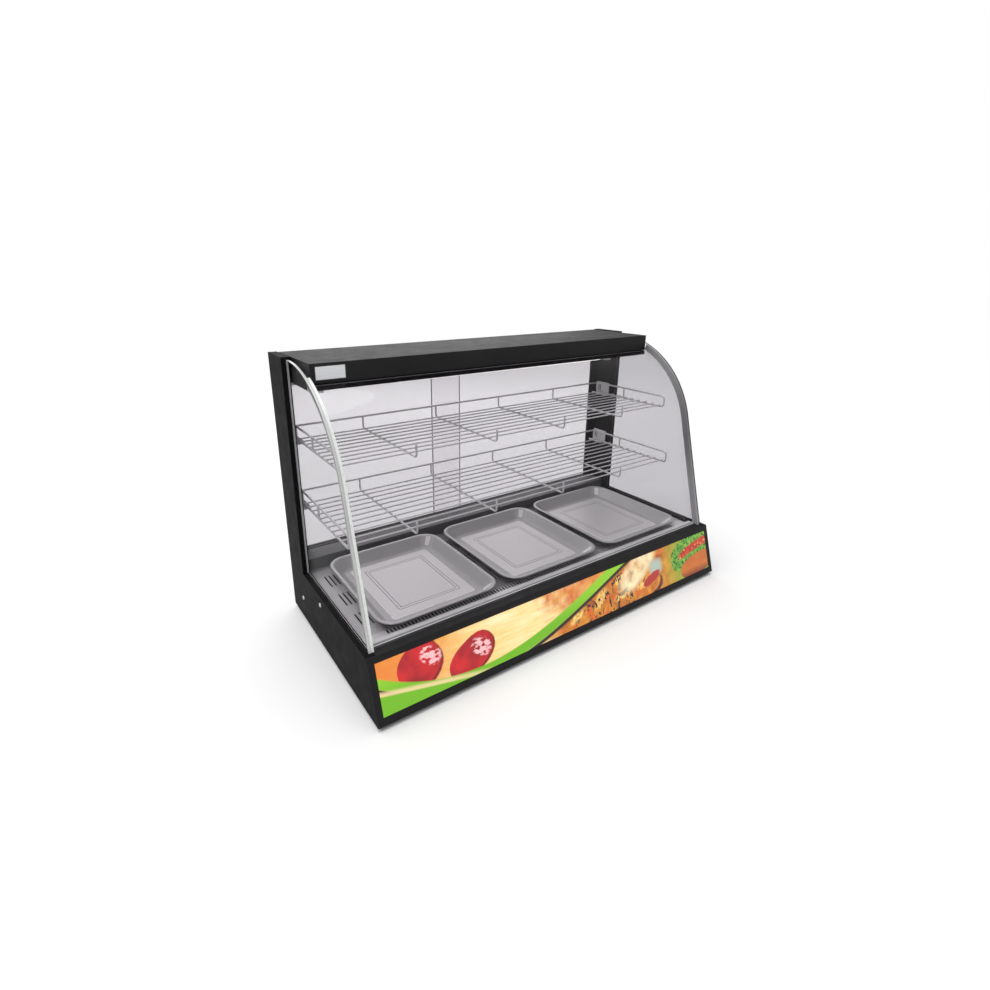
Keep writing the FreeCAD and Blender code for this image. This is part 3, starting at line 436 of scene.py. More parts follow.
    # a bright soft spot, a pale patch beside it and a dark red shape under it
    paint((0.95, 0.82, 0.50), blob(0.715, 0.72, 0.72, 0.30, 0.6, 0.8, 0.5), mottle(40, 0.3, 1.2, detail=4))
    paint((0.42, 0.50, 0.42), blob(0.785, 0.60, 0.24, 0.2, 0.5, 0.9))
    paint((0.42, 0.03, 0.02), blob(0.765, 0.36, 0.34, 0.11, 1.2, 0.2, 0.3))
    # two red vegetables on the left, with broken pale highlights
    flesh = over((0.60, 0.010, 0.014), (0.30, 0.003, 0.010), mottle(28, -0.2, 1.1, detail=4))
    for x, y, wide, tall, turn in VEGETABLES:
        shadow = blob(x + 0.003, y - 0.03, wide * 1.03, tall * 1.05, 0.2, 0.07, turn)
        shine = overlap(blob(x + 0.026, y + 0.10, 0.24, 0.17, 1.4, 0.35, -0.6),
                        spots(150, 0.52, 0.05, stretch=(0.6, 1, 1), detail=4))
        paint((0.22, 0.006, 0.008), shadow)
        paint(flesh, blob(x, y, wide, tall, 0.16, 0.05, turn))
        paint((0.90, 0.50, 0.52), shine)
    # a filled roll at the right end: leaf, red filling, leaf, crust
    leaf = over((0.035, 0.20, 0.010), (0.26, 0.52, 0.05), mottle(100, 0, 1, detail=5))
    leaf = over(leaf, (0.012, 0.08, 0.006), spots(170, 0.43, 0.04, detail=4))
    filling = over((0.68, 0.07, 0.012), (0.36, 0.012, 0.006), mottle(95, 0, 1, detail=4))
    filling = over(filling, (0.85, 0.33, 0.10), spots(120, 0.38, 0.04, detail=3))
    crust = over((0.60, 0.16, 0.016), (0.42, 0.08, 0.008), mottle(18, 0, 1, stretch=(0.4, 1, 1)))
    crust = over(crust, (0.24, 0.04, 0.006), under(v, 0.10, 0.12))
    for stuff, shape in ((leaf, (0.95, 0.82, 1.0, 0.26, 1.6, 0.1, 0.16)), (leaf, (0.885, 0.52, 0.36, 0.30, 1.6, 0.1)),
                         (filling, (0.955, 0.69, 0.76, 0.15, 1.0, 0.12, 0.16)),
                         (leaf, (0.955, 0.50, 0.86, 0.13, 1.8, 0.12, 0.14)),
                         (crust, (0.955, 0.24, 0.72, 0.27, 0.12, 0.05, 0.12))):
        paint(stuff, blob(*shape))
    # the green ribbon with its dark line, and a green field under it at the left
    thick = curve(0.10, 0.02)
    green = over((0.16, 0.46, 0.008), (0.26, 0.58, 0.02), span(material, v, 0, 1))
    below_band = of("ADD", ribbon, thick)
    paint((0.02, 0.012, 0.006), under(below_band, 0.0, 0.015), over_edge(below_band, -0.085, 0.02))
    paint(green, under(ribbon, thick, 0.015), over_edge(ribbon, of("MULTIPLY", thick, -1), 0.015))
    field = of("SUBTRACT", v, curve(0.38, -2.0, 0.6))
    paint((0.88, 0.66, 0.34), under(field, 0.08, 0.04), under(u, 0.26, 0.12), 0.85)
    paint(green, under(field, 0.0, 0.02))
    feed(material, "Base Color", picture)
    feed(material, "Emission Color", picture)
    wander(material, 40, 0.13, 0.2)
    bump(material, noise(material, 700, detail=2), 0.05)
    return material


# Building pieces.


def place(name, data, looks, replaced=(), body="cabinet"):
    """A new piece, finished with the given looks, standing for the CAD nodes it replaces. Data may be an open bmesh."""
    if isinstance(data, bmesh.types.BMesh):
        data = mesh_of(data, name)
    for look in looks:
        data.materials.append(look)
    made = add(name, data)
    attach(made, body)
    if replaced:
        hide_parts(*replaced)
    return made


def mesh_of(work, name, angle=35):
    """The finished mesh of a bmesh: normals outward, smooth, but crisp where it turns by more than an angle."""
    bmesh.ops.recalc_face_normals(work, faces=work.faces)
    mesh = bpy.data.meshes.new(name)
    work.to_mesh(mesh)
    work.free()
    for face in mesh.polygons:
        face.use_smooth = True
    mesh.set_sharp_from_angle(angle=math.radians(angle))
    return mesh


def join_rings(work, rings, caps=True, loop=False, looks=()):
    """Quads between rings of points of one length, each ring closed on itself. Looks gives each band its own look."""
    made = [[work.verts.new(point) for point in ring] for ring in rings]
    pairs = list(zip(made, made[1:])) + ([(made[-1], made[0])] if loop else [])
    for band, (lower, upper) in enumerate(pairs):
        for index in range(len(lower)):
            after = (index + 1) % len(lower)
            face = work.faces.new((lower[index], lower[after], upper[after], upper[index]))
            face.material_index = looks[band] if looks else 0
    for ring in (made[0], made[-1]) if caps else ():
        work.faces.new(ring)


def round_rectangle(x_half, y_half, radius, z, steps=9):
    """Points round a rectangle with rounded corners, at a height."""
    points = []
    for x_side, y_side, first in ((1, 1, 0), (-1, 1, 90), (-1, -1, 180), (1, -1, 270)):
        for step in range(steps):
            angle = math.radians(first + 90 * step / (steps - 1))
            points.append(Vector((x_side * (x_half - radius) + radius * math.cos(angle),
                                  y_side * (y_half - radius) + radius * math.sin(angle), z)))
    return points


AXIS_TURN = {"x": Matrix.Rotation(math.radians(90), 4, "Y"), "-x": Matrix.Rotation(math.radians(-90), 4, "Y"),
             "y": Matrix.Rotation(math.radians(-90), 4, "X"), "z": Matrix.Identity(4)}


def turned(work, profile, centre, axis, steps=32, flutes=0, depth=0.0, loop=False):
    """A turned shape. The profile is (radius, height) in mm from the centre along the axis. A third number in a point
    of the profile says how much of the flutes it has."""
    matrix = Matrix.Translation(centre) @ AXIS_TURN[axis]
    rings = []
    for radius, height, *share in profile:
        ring = []
        for step in range(steps):
            angle = math.tau * step / steps
            groove = depth * abs(math.sin(angle * flutes / 2)) ** 3 * (share[0] if share else 0)
            reach = (radius - groove) * MM
            ring.append(matrix @ Vector((reach * math.cos(angle), reach * math.sin(angle), height * MM)))
        rings.append(ring)
    join_rings(work, rings, not loop, loop)


def cross_head(work, centre, axis, radius, height):
    """A pan-head screw with a cross recess, in mm along the axis from the sheet that it clamps."""
    matrix = Matrix.Translation(centre) @ AXIS_TURN[axis]
    steps, rings = 32, []
    recess_reach, recess_half, recess_depth = 0.6, 0.15, 0.55
    for far, rise in ((1, 0), (1, 0.45), (0.93, 0.75), (0.8, 0.92), (0.62, 1), (0.56, 1), (0.4, 1), (0.24, 1),
                      (0.14, 1)):
        ring = []
        for step in range(steps):
            angle = math.tau * step / steps
            x, y = far * math.cos(angle), far * math.sin(angle)
            sunk = recess_depth if far < recess_reach and min(abs(x), abs(y)) < recess_half else 0
            ring.append(matrix @ Vector((x * radius * MM, y * radius * MM, (rise - sunk) * height * MM)))
        rings.append(ring)
    join_rings(work, rings)


MERGE, FLAT = 0.00001, math.radians(0.4)


def soften(node, width):
    """Rounds the sharp edges of a CAD node, as folded and coated sheet has them."""
    steps = frame["nodes"][node].modifiers
    give(steps.new("weld", "WELD"), merge_threshold=MERGE)
    give(steps.new("flat", "DECIMATE"), decimate_type="DISSOLVE", angle_limit=FLAT)
    give(steps.new("edge", "BEVEL"), width=width * MM, segments=2, limit_method="ANGLE",
         angle_limit=math.radians(40), use_clamp_overlap=True)
    give(steps.new("normals", "WEIGHTED_NORMAL"), keep_sharp=True)


def rounded_path(points, bend, closed=False, steps=6):
    """The points with each corner rounded by an arc that touches both of its runs."""
    corners = [Vector(point) for point in points]
    triples = list(zip(corners, corners[1:], corners[2:]))
    if closed:
        triples = list(zip(corners[-1:] + corners, corners, corners[1:] + corners[:1]))
    made = []
    for before, corner, after in triples:
        back, ahead = (before - corner).normalized(), (after - corner).normalized()
        half = back.angle(ahead) / 2
        centre = corner + (back + ahead).normalized() * (bend / math.sin(half))
        start = corner + back * (bend / math.tan(half)) - centre
        stop = corner + ahead * (bend / math.tan(half)) - centre
        for step in range(steps + 1):
            made.append(centre + start.normalized().slerp(stop.normalized(), step / steps) * bend)
    return made if closed else [corners[0]] + made + [corners[-1]]


def wires(name, paths, look, replaced=(), body="cabinet"):
    """Round wires as one curve object. Each path is (points in metres, radius in mm, closed)."""
    curve = give(bpy.data.curves.new(name, "CURVE"), dimensions="3D", bevel_depth=MM, bevel_resolution=3,
                 use_fill_caps=True)
    for points, radius, closed in paths:
        line = curve.splines.new("POLY")
        line.points.add(len(points) - 1)
        for spot, point in zip(line.points, points):
            spot.co = (*point, 1)
            spot.radius = radius
        line.use_cyclic_u = closed
        line.use_smooth = True
    place(name, curve, [look], replaced, body)


# Pieces.


# A tray from the outside of its rim to its floor: (mm in from the edge, mm up from the deck, corner radius in mm).
TRAY_STEPS = ((0, 18.9, 38), (0.1, 19.9, 37.9), (0.7, 20.6, 37.3), (1.6, 20.8, 36.4), (5.4, 20.8, 32.6),
              (6.6, 20.5, 31.6), (7.5, 19.8, 30.8), (8.2, 18.8, 30), (22.4, 4.4, 22), (23.7, 3.0, 21.2),
              (25.3, 1.9, 20.4), (27.2, 1.3, 19.4), (29, 1.1, 18.6), (38.2, 1.1, 6.6), (38.8, 1.3, 6),
              (39.3, 2.0, 5.4), (39.9, 2.3, 4.8), (60.2, 2.3, 3.4), (60.8, 1.7, 3.2), (61.4, 2.3, 3),
              (66.4, 2.3, 3), (67, 1.7, 2.8), (67.6, 2.3, 2.6), (95, 2.3, 2))
TRAY_METAL = 0.8
# the tray's bands, each a copy of one drawn steel in a painted tone
RIM, SHADED_WALL, LIT_FLOOR, LINE_SHADE, STEP_HIGHLIGHT, CORNER_HIGHLIGHT = range(6)
# the insets at which a band of the tray ends or, for the pressed lines, starts
RIM_END, WALL_END, STEP_END, LINE_BANDS = 8, 38, 39.8, (60.2, 60.8, 66.4, 67)
# the faces of the tall wall band round the two corners on the right, which carry a painted highlight
TALL_BAND, HIGHLIGHT_FACES = 7, (3, 4, 30, 31)


def make_tray(number, body, looks):
    """A pressed tray: a rolled rim, soft walls, and a floor raised inside a step, with two pressed lines."""
    node = f"tray_{number}"
    lowest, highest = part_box(node)
    middle = (lowest + highest) / 2
    x_half, y_half = (highest.x - lowest.x) / 2, (highest.y - lowest.y) / 2
    rings = []
    for inset, rise, corner in TRAY_STEPS:
        ring = round_rectangle(x_half - inset * MM, y_half - inset * MM, corner * MM, lowest.z + rise * MM)
        rings.append([point + Vector((middle.x, middle.y, 0)) for point in ring])
    work = bmesh.new()
    # painted tones by band: shade on the wall and in the pressed lines, light on the floor, a highlight on the step's
    # edge
    bands = [RIM if inset < RIM_END else SHADED_WALL if inset < WALL_END else STEP_HIGHLIGHT if inset < STEP_END
             else LINE_SHADE if inset in LINE_BANDS else LIT_FLOOR for inset, *_ in TRAY_STEPS[:-1]]
    join_rings(work, rings, False, looks=bands)
    work.verts.ensure_lookup_table()
    work.faces.new(work.verts[-len(rings[-1]):]).material_index = LIT_FLOOR
    work.faces.ensure_lookup_table()
    # a painted highlight on the wall faces round the two right corners
    for face in HIGHLIGHT_FACES:
        work.faces[TALL_BAND * len(rings[0]) + face].material_index = CORNER_HIGHLIGHT
    mesh = mesh_of(work, node + "_pressed", 50)
    steps = place(node + "_pressed", mesh, looks, [node], body).modifiers
    give(steps.new("sheet", "SOLIDIFY"), thickness=TRAY_METAL * MM, offset=-1)
    give(steps.new("normals", "WEIGHTED_NORMAL"), keep_sharp=True)


def copy_of(node):
    """A CAD node's mesh with its doubled points merged, to build on."""
    work = bmesh.new()
    work.from_mesh(frame["nodes"][node].data)
    bmesh.ops.remove_doubles(work, verts=work.verts, dist=MERGE)
    return work


def flatten(work):
    """Drops the edges that lie within flat faces."""
    bmesh.ops.dissolve_limit(work, angle_limit=FLAT, verts=work.verts, edges=work.edges)


def copied_mesh(work, name):
    """The finished mesh of a changed copy, without the normals that the CAD mesh came with."""
    mesh = mesh_of(work, name, 20)
    if mesh.attributes.get("custom_normal"):
        mesh.attributes.remove(mesh.attributes["custom_normal"])
    return mesh


ARRIS = 0.6


def make_pane(node, across, looks, body="cabinet"):
    """A pane with clear faces and ground, arrised edges. Across is the axis through its thickness, or None where the
    pane is curved about X."""
    work = copy_of(node)
    flatten(work)

    def wide(face):
        if across is None:
            return abs(face.normal.x) < 0.5
        return abs(face.normal[across]) > 0.9

    for face in work.faces:
        face.material_index = 0 if wide(face) else 1
    corners = [edge for edge in work.edges
               if len(edge.link_faces) == 2 and wide(edge.link_faces[0]) != wide(edge.link_faces[1])]
    made = bmesh.ops.bevel(work, geom=corners, offset=ARRIS * MM, segments=1, affect="EDGES", clamp_overlap=True)
    for face in made["faces"]:
        face.material_index = 1
    place(node + "_arrised", copied_mesh(work, node + "_arrised"), looks, [node], body)


SLOT_COLUMNS, SLOT_COLUMN_PITCH, SLOTS_IN_GROUP, SLOT_PITCH, SLOT_HALF = 4, 262.8, 5, 8.7, 1.7
REAR_SLOTS_FROM, REAR_SLOTS_TO = 66, 112


def make_deck(look):
    """The deck's sheet, with a third row of slot groups cut near the doors, in line with the other two."""
    work = copy_of("deck_plate")
    middles = [(column - (SLOT_COLUMNS - 1) / 2) * SLOT_COLUMN_PITCH + (slot - (SLOTS_IN_GROUP - 1) / 2) * SLOT_PITCH
               for column in range(SLOT_COLUMNS) for slot in range(SLOTS_IN_GROUP)]
    cuts = [(Vector((0, y * MM, 0)), Vector((0, 1, 0))) for y in (REAR_SLOTS_FROM, REAR_SLOTS_TO)]
    cuts += [(Vector(((x + side) * MM, 0, 0)), Vector((1, 0, 0))) for x in middles for side in (-SLOT_HALF, SLOT_HALF)]
    for point, across in cuts:
        bmesh.ops.bisect_plane(work, geom=work.verts[:] + work.edges[:] + work.faces[:], dist=0.000001,
                               plane_co=point, plane_no=across)

    def inside(spot, x, slack):
        return (abs(spot.x / MM - x) < SLOT_HALF + slack
                and REAR_SLOTS_FROM - slack < spot.y / MM < REAR_SLOTS_TO + slack)

    for x in middles:
        gone = [face for face in work.faces if inside(face.calc_center_median(), x, 0)]
        bmesh.ops.delete(work, geom=gone, context="FACES")
        rim = [edge for edge in work.edges if edge.is_boundary and all(inside(v.co, x, 0.05) for v in edge.verts)]
        bmesh.ops.bridge_loops(work, edges=rim)
    flatten(work)
    place("deck_plate_slotted", copied_mesh(work, "deck"), [look], ["deck_plate"])


def make_left_bead(looks):
    """The left bead, with a painted highlight only on the face that fills the corner behind the front glass."""
    work = copy_of("corner_bead_left")
    flatten(work)
    for face in work.faces:
        outward = face.normal.z > face.normal.y and abs(face.normal.x) < 0.5
        # the bright look on the outward face is a painted highlight
        face.material_index = 1 if outward else 0
    place("corner_bead_left_drawn", copied_mesh(work, "bead"), looks, ["corner_bead_left"])


WIRE_RADIUS, HOOK_RADIUS, THIN_RADIUS, RAIL_RADIUS = 2.2, 2.0, 1.5, 2.1
RACK_HALF, RACK_RIB, NOSE_REACH, WIRE_BEND = 420, 85, 12, 7
HOOKS, HOOK_PITCH = 4, 178.5
WELD_WIDE, WELD_HIGH = 2.3, 1.0


def make_rack(name, first_hook, wire_count, body, look):
    """A welded rack: looped ends, bent hooks, a back rail, and long wires with a weld at each crossing."""
    lowest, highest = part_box(f"rack_{name}_frame")
    low, top = lowest.z / MM + WIRE_RADIUS, highest.z / MM - WIRE_RADIUS
    back, nose = highest.y / MM - WIRE_RADIUS, lowest.y / MM + HOOK_RADIUS
    first_row, last_row = (corner.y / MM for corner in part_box(f"rack_{name}_wires"))

    def at(*points):
        return [Vector(point) * MM for point in points]

    paths = [(at((-RACK_HALF, back, top), (RACK_HALF, back, top)), RAIL_RADIUS, False)]
    columns = []
    for side in (-RACK_HALF, RACK_HALF):
        loop = at((side, back, top), (side, back, low), (side, nose + NOSE_REACH, low),
                  (side, nose + NOSE_REACH, top))
        paths.append((rounded_path(loop, WIRE_BEND * MM, closed=True), WIRE_RADIUS, True))
        paths.append((at((side, RACK_RIB, low), (side, RACK_RIB, top)), HOOK_RADIUS, False))
        columns.append((side, WIRE_RADIUS))
    for index in range(HOOKS):
        x = first_hook + index * HOOK_PITCH
        hook = at((x, back, top), (x, back, low), (x, nose, low), (x, nose, top - 2))
        paths.append((rounded_path(hook, WIRE_BEND * MM), HOOK_RADIUS, False))
        columns.append((x, HOOK_RADIUS))
    wires(f"rack_{name}_bent_frame", paths, look, [f"rack_{name}_frame"], body)
    height = low + WIRE_RADIUS + THIN_RADIUS - 0.1
    pitch = (last_row - first_row - 2 * THIN_RADIUS) / (wire_count - 1)
    rows = [first_row + THIN_RADIUS + index * pitch for index in range(wire_count)]
    long_wires = [(at((-RACK_HALF - 1, y, height), (RACK_HALF + 1, y, height)), THIN_RADIUS, False) for y in rows]
    wires(f"rack_{name}_long_wires", long_wires, look, [f"rack_{name}_wires"], body)
    work = bmesh.new()
    for x, radius in columns:
        for y in rows:
            matrix = (Matrix.Translation(Vector((x, y, low + radius)) * MM)
                      @ Matrix.Diagonal((WELD_WIDE * MM, WELD_WIDE * MM, WELD_HIGH * MM, 1)))
            bmesh.ops.create_icosphere(work, subdivisions=1, radius=1, matrix=matrix)
    place(f"rack_{name}_welds", mesh_of(work, "welds", 80), [look], body=body)


SIDE_SCREW_PLACES = ((146, 59), (33.3, 102.5))


def make_side_screws(look):
    work = bmesh.new()
    for side, axis in ((-1, "-x"), (1, "x")):
        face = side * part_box("side_panel_right")[1].x
        for y, z in SIDE_SCREW_PLACES:
            spot = Vector((face, y * MM, z * MM))
            cross_head(work, spot, axis, 4.4, 1.8)
            turned(work, [(2.6, -7), (2.6, 0.2)], spot, axis, 16)
    place("side_screws_cross_heads", work, [look], ["side_screws"])


BRACKET_SCREW_UP, SCREW_RADIUS, SHANK = 19.5, 3.5, 2


def make_bracket_screws(look):
    work = bmesh.new()
    lowest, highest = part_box("rack_bracket_screws")
    for level in ("upper", "lower"):
        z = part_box(f"rack_{level}_brackets")[0].z + BRACKET_SCREW_UP * MM
        for side, axis in ((-1, "x"), (1, "-x")):
            for y in (lowest.y + SCREW_RADIUS * MM, highest.y - SCREW_RADIUS * MM):
                cross_head(work, Vector((side * (highest.x + SHANK * MM), y, z)), axis, SCREW_RADIUS, 1.9)
    place("bracket_cross_heads", work, [look], ["rack_bracket_screws"])


def make_badge(plate, border):
    """A plain plate with a raised border, left blank."""
    lowest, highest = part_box("badge_plate")
    middle = (lowest + highest) / 2
    wide, tall = (highest.x - lowest.x) / 2, (highest.z - lowest.z) / 2
    work = bmesh.new()
    rings = []
    for inset, out, corner in ((0, 0, 2), (0, 0.6, 2), (0.25, 0.8, 1.8), (1.5, 0.8, 1.2), (1.8, 0.45, 1), (5, 0.45, 1)):
        ring = round_rectangle(wide - inset * MM, tall - inset * MM, corner * MM, 0, 5)
        rings.append([Vector((middle.x + p.x, highest.y - out * MM, middle.z + p.y)) for p in ring])
    join_rings(work, rings)
    mesh = mesh_of(work, "badge", 40)
    for face in mesh.polygons:
        inset = min(wide - abs(face.center.x - middle.x), tall - abs(face.center.z - middle.z))
        face.material_index = 1 if inset < 1.7 * MM else 0
    place("badge_plate_blank", mesh, [plate, border], ["badge_plate"])


def make_hem(look):
    """The rolled hem that stands out along the canopy's lower front edge, a thin piece that carries a painted highlight
    line.
    """
    lowest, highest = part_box("front_glass_clip")
    ends = [Vector((x, lowest.y - 0.6 * MM, highest.z - 1.5 * MM)) for x in (lowest.x + 3 * MM, highest.x - 3 * MM)]
    wires("canopy_hem", [(ends, 1.1, False)], look)


FOOT_RADIUS = 15


def make_feet(look):
    """Moulded feet: tapered, grooved once, with a recess for the screw."""
    work = bmesh.new()
    lowest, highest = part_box("rubber_feet")
    profile = [(FOOT_RADIUS, 8), (FOOT_RADIUS, 6.6), (14.3, 6.0), (14.9, 5.4), (13.6, 1.0), (12.8, 0.2), (12, 0),
               (6, 0), (5.6, 0.4), (5.4, 4.5), (0.5, 4.5)]
    for x in (lowest.x + FOOT_RADIUS * MM, highest.x - FOOT_RADIUS * MM):
        for y in (lowest.y + FOOT_RADIUS * MM, highest.y - FOOT_RADIUS * MM):
            turned(work, profile, Vector((x, y, 0)), "z", 40)
    place("rubber_feet_moulded", work, [look], ["rubber_feet"])


def inner_centre(node):
    """The middle, in X and Z, of the innermost face of a part on the rear panel."""
    lowest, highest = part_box(node)
    return Vector(((lowest.x + highest.x) / 2, lowest.y, (lowest.z + highest.z) / 2))


def make_gland(look):
    """The open inlet bush: a six-sided flange nut, a ribbed barrel and a rounded mouth."""
    centre = inner_centre("cord_inlet_gland")
    work = bmesh.new()
    barrel = [(4.2, 0), (8, 0), (8, 9), (8, 13.5), (7.9, 14.2, 1), (7.9, 18.5, 1), (7.5, 19.6, 0.6), (6.6, 20.6),
              (5.6, 21), (4.7, 20.8), (4.2, 20)]
    turned(work, barrel, centre, "y", 64, flutes=32, depth=0.8, loop=True)
    nut = [(8.05, 9), (11.6, 9), (12, 9.4), (12, 13.2), (11.4, 13.9), (8.05, 13.9)]
    turned(work, nut, centre, "y", 6, loop=True)
    place("cord_inlet_bush", work, [look], ["cord_inlet_gland"])


def make_knob(body, black, white):
    """A fluted knob with a skirt, a grip bar and a white pointer line."""
    centre = inner_centre("thermostat_knob")
    work = bmesh.new()
    profile = [(3.1, 0), (16.6, 0), (17, 0.5), (17, 1.6), (16.6, 2.1), (15.6, 2.5), (15.4, 3, 1), (14.9, 7.4, 1),
               (14.2, 8.3, 0.6), (13.2, 8.6), (3.1, 8.6)]
    turned(work, profile, centre, "y", 96, flutes=24, depth=0.7, loop=True)
    turned(work, [(3.1, 7.8), (12.9, 7.8), (12.9, 8.4), (3.1, 8.4)], centre, "y", 48, loop=True)
    rings = []
    for inset, out, corner in ((0.2, 8.2, 2.5), (0, 9.2, 2.5), (0, 11.9, 2.4), (0.5, 12.4, 2), (1.2, 12.5, 1.5)):
        ring = round_rectangle((4 - inset) * MM, (15.6 - inset) * MM, corner * MM, 0, 6)
        rings.append([centre + Vector((p.x, out * MM, p.y)) for p in ring])
    join_rings(work, rings)
    place("thermostat_knob_fluted", work, [black], ["thermostat_knob"], body)
    work = bmesh.new()
    rings = []
    for out in (12.3, 12.6):
        rings.append([centre + Vector((p.x, out * MM, 9.2 * MM + p.y))
                      for p in round_rectangle(0.7 * MM, 5 * MM, 0.6 * MM, 0, 4)])
    join_rings(work, rings)
    place("thermostat_pointer", work, [white], body=body)


DIAL_NUMBERS, DIAL_SWEEP, STEPS_A_NUMBER = ("0", "30", "50", "70", "90", "110"), 270, 5
DIAL_METAL, TICK_REACH, TICK_HIGH, NUMBER_REACH, NUMBER_HIGH = 0.6, 17.6, 0.08, 22.8, 0.04


def make_dial(plate, mark):
    """The dial plate with a turned rim, its ticks and its numbers, a quarter of the way round left free."""
    centre = inner_centre("thermostat_dial")
    work = bmesh.new()
    turned(work, [(4.5, 0), (27, 0), (27, 0.35), (26.7, 0.6), (25.9, 0.6), (25.7, 0.45), (25.1, 0.45), (24.9, 0.6),
                  (4.5, 0.6)], centre, "y", 96, loop=True)
    place("thermostat_dial_plate", work, [plate], ["thermostat_dial"])
    work = bmesh.new()
    face = centre.y + DIAL_METAL * MM
    ticks = STEPS_A_NUMBER * (len(DIAL_NUMBERS) - 1)
    for tick in range(ticks + 1):
        # seen from the operator's side, +X is on the left and the numbers rise clockwise from the top
        angle = math.radians(DIAL_SWEEP * tick / ticks)
        out = Vector((-math.sin(angle), 0, math.cos(angle)))
        along = Vector((math.cos(angle), 0, math.sin(angle)))
        reach, half = (1.6 * MM, 0.15 * MM) if tick % STEPS_A_NUMBER else (3.0 * MM, 0.25 * MM)
        inner = Vector((centre.x, face, centre.z)) + out * TICK_REACH * MM
        foot = [inner - along * half, inner + along * half, inner + along * half + out * reach,
                inner - along * half + out * reach]
        top = [point + Vector((0, TICK_HIGH * MM, 0)) for point in foot]
        join_rings(work, [foot, top])
    place("thermostat_dial_ticks", work, [mark])
    facing_out = Matrix(((-1, 0, 0, 0), (0, 0, 1, 0), (0, 1, 0, 0), (0, 0, 0, 1)))
    for index, word in enumerate(DIAL_NUMBERS):
        angle = math.radians(DIAL_SWEEP * index / (len(DIAL_NUMBERS) - 1))
        text = give(bpy.data.curves.new(f"dial_number_{word}", "FONT"), body=word, size=3.6 * MM, align_x="CENTER",
                    align_y="CENTER", extrude=NUMBER_HIGH * MM)
        text.materials.append(mark)
        number = add(f"dial_number_{word}", text)
        reach = NUMBER_REACH * MM
        spot = (centre.x - reach * math.sin(angle), face + NUMBER_HIGH * MM, centre.z + reach * math.cos(angle))
        number.matrix_world = Matrix.Translation(spot) @ facing_out
        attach(number, "cabinet")


def make_lenses(looks, bezel):
    """Domed lamp lenses in bright bezels."""
    for name, (look, slot) in looks.items():
        node = name + "_indicator"
        centre = inner_centre(node)
        centre.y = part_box("rear_panel")[1].y
        work = bmesh.new()
        turned(work, [(4, -12), (4, 1.2), (4.9, 1.3), (4.6, 2.4), (3.8, 3.3), (2.6, 3.8), (1.2, 4)], centre, "y", 48)
        place(name + "_indicator_lens", work, [look], [node])
        work = bmesh.new()
        turned(work, [(4.2, 0), (6, 0), (6, 0.8), (5.7, 1.6), (5.2, 1.8), (5, 1.2), (4.2, 1.0)], centre, "y", 48,
               loop=True)
        place(name + "_indicator_bezel", work, [bezel])


def make_lamp(glass, metal):
    """The canopy lamp: a frosted tube with a metal cap and two pins at each end."""
    lowest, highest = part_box("canopy_lamp_tube")
    radius = (highest.z - lowest.z) / 2 / MM
    start = Vector((lowest.x, (lowest.y + highest.y) / 2, (lowest.z + highest.z) / 2))
    long = (highest.x - lowest.x) / MM
    work = bmesh.new()
    turned(work, [(radius * 0.93, 15), (radius, 16), (radius, long - 16), (radius * 0.93, long - 15)], start, "x", 40)
    place("canopy_lamp_glass", work, [glass], ["canopy_lamp_tube"])
    work = bmesh.new()
    for end, way in ((start, "x"), (Vector((highest.x, start.y, start.z)), "-x")):
        turned(work, [(radius * 0.8, 0.1), (radius * 0.98, 0.6), (radius, 1.4), (radius, 14.4), (radius * 0.96, 15),
                      (radius * 0.9, 15.4)], end, way, 40)
    place("canopy_lamp_caps", work, [metal])


make_camera()
make_light()
make_floor()

BLACK = coated("black_powder_coat", (0.0085, 0.0078, 0.0088), 0.55, gloss=0.22)
# a grey lighter than the black coat: a painted highlight along the canopy's lower front edge
HEM_HIGHLIGHT = coated("black_hem_highlight", (0.13, 0.127, 0.133), 0.4)
# the side panels take the black coat made darker and duller, as painted shade
SHADED_SIDE_BLACK = coated("shaded_black_side_coat", (0.006, 0.0055, 0.0062), 0.6, gloss=0.06)
WHITE = coated("white_enamel", (0.8, 0.8, 0.78), 0.3)
# the deck's colours: painted shade, painted light at the ends, painted light along the front
DECK = deck_metal("deck_stainless", (0.28, 0.275, 0.28), (0.56, 0.555, 0.56), (0.74, 0.735, 0.74))
# the sill is the deck's stainless made darker, as painted shade
SHADED_SILL = brushed("shaded_sill_stainless", (0.15, 0.147, 0.152), 0.55, (0.02, 1, 1), 0.08, 0.1)
STRIP = channel_metal("bright_stainless", (0.85, 0.84, 0.845), (0.014, 0.013, 0.014))
PAN = brushed("pan_stainless", (0.06, 0.06, 0.06), 0.45)
# Drawn steel with hardly any grain, one copy a band, in the order of the band numbers above: rim, wall, floor, pressed
# line, step and corner. The copies differ in tone as painted light and shade: wall and pressed lines darker as painted
# shade, floor lighter as painted light, the step's edge and the corners as painted highlights.
TRAY_LOOKS = [brushed(name, colour, roughness, (1, 1, 1), 0.015, metallic) for name, colour, roughness, metallic in (
    ("rolled_tray_rim", (0.56, 0.555, 0.56), 0.35, 0.4), ("shaded_tray_wall", (0.52, 0.515, 0.52), 0.5, 0.4),
    ("lit_tray_steel", (0.78, 0.765, 0.765), 0.42, 0.3), ("pressed_line_shade", (0.26, 0.255, 0.255), 0.5, 0.3),
    ("raised_floor_edge_highlight", (0.93, 0.92, 0.92), 0.3, 0.2), ("tray_corner_highlight", (0.95, 0.945, 0.95), 0.3, 0.1))]
WIRE = brushed("plated_wire", (0.85, 0.84, 0.85), 0.35, (1, 1, 1), 0.05, 0.3)
ZINC = brushed("zinc_plate", (0.62, 0.62, 0.64), 0.35, (1, 1, 1), 0.1, 0.7)
PLATED = brushed("plated_bracket", (0.95, 0.94, 0.95), 0.4, (1, 1, 1), 0.08, 0.0)
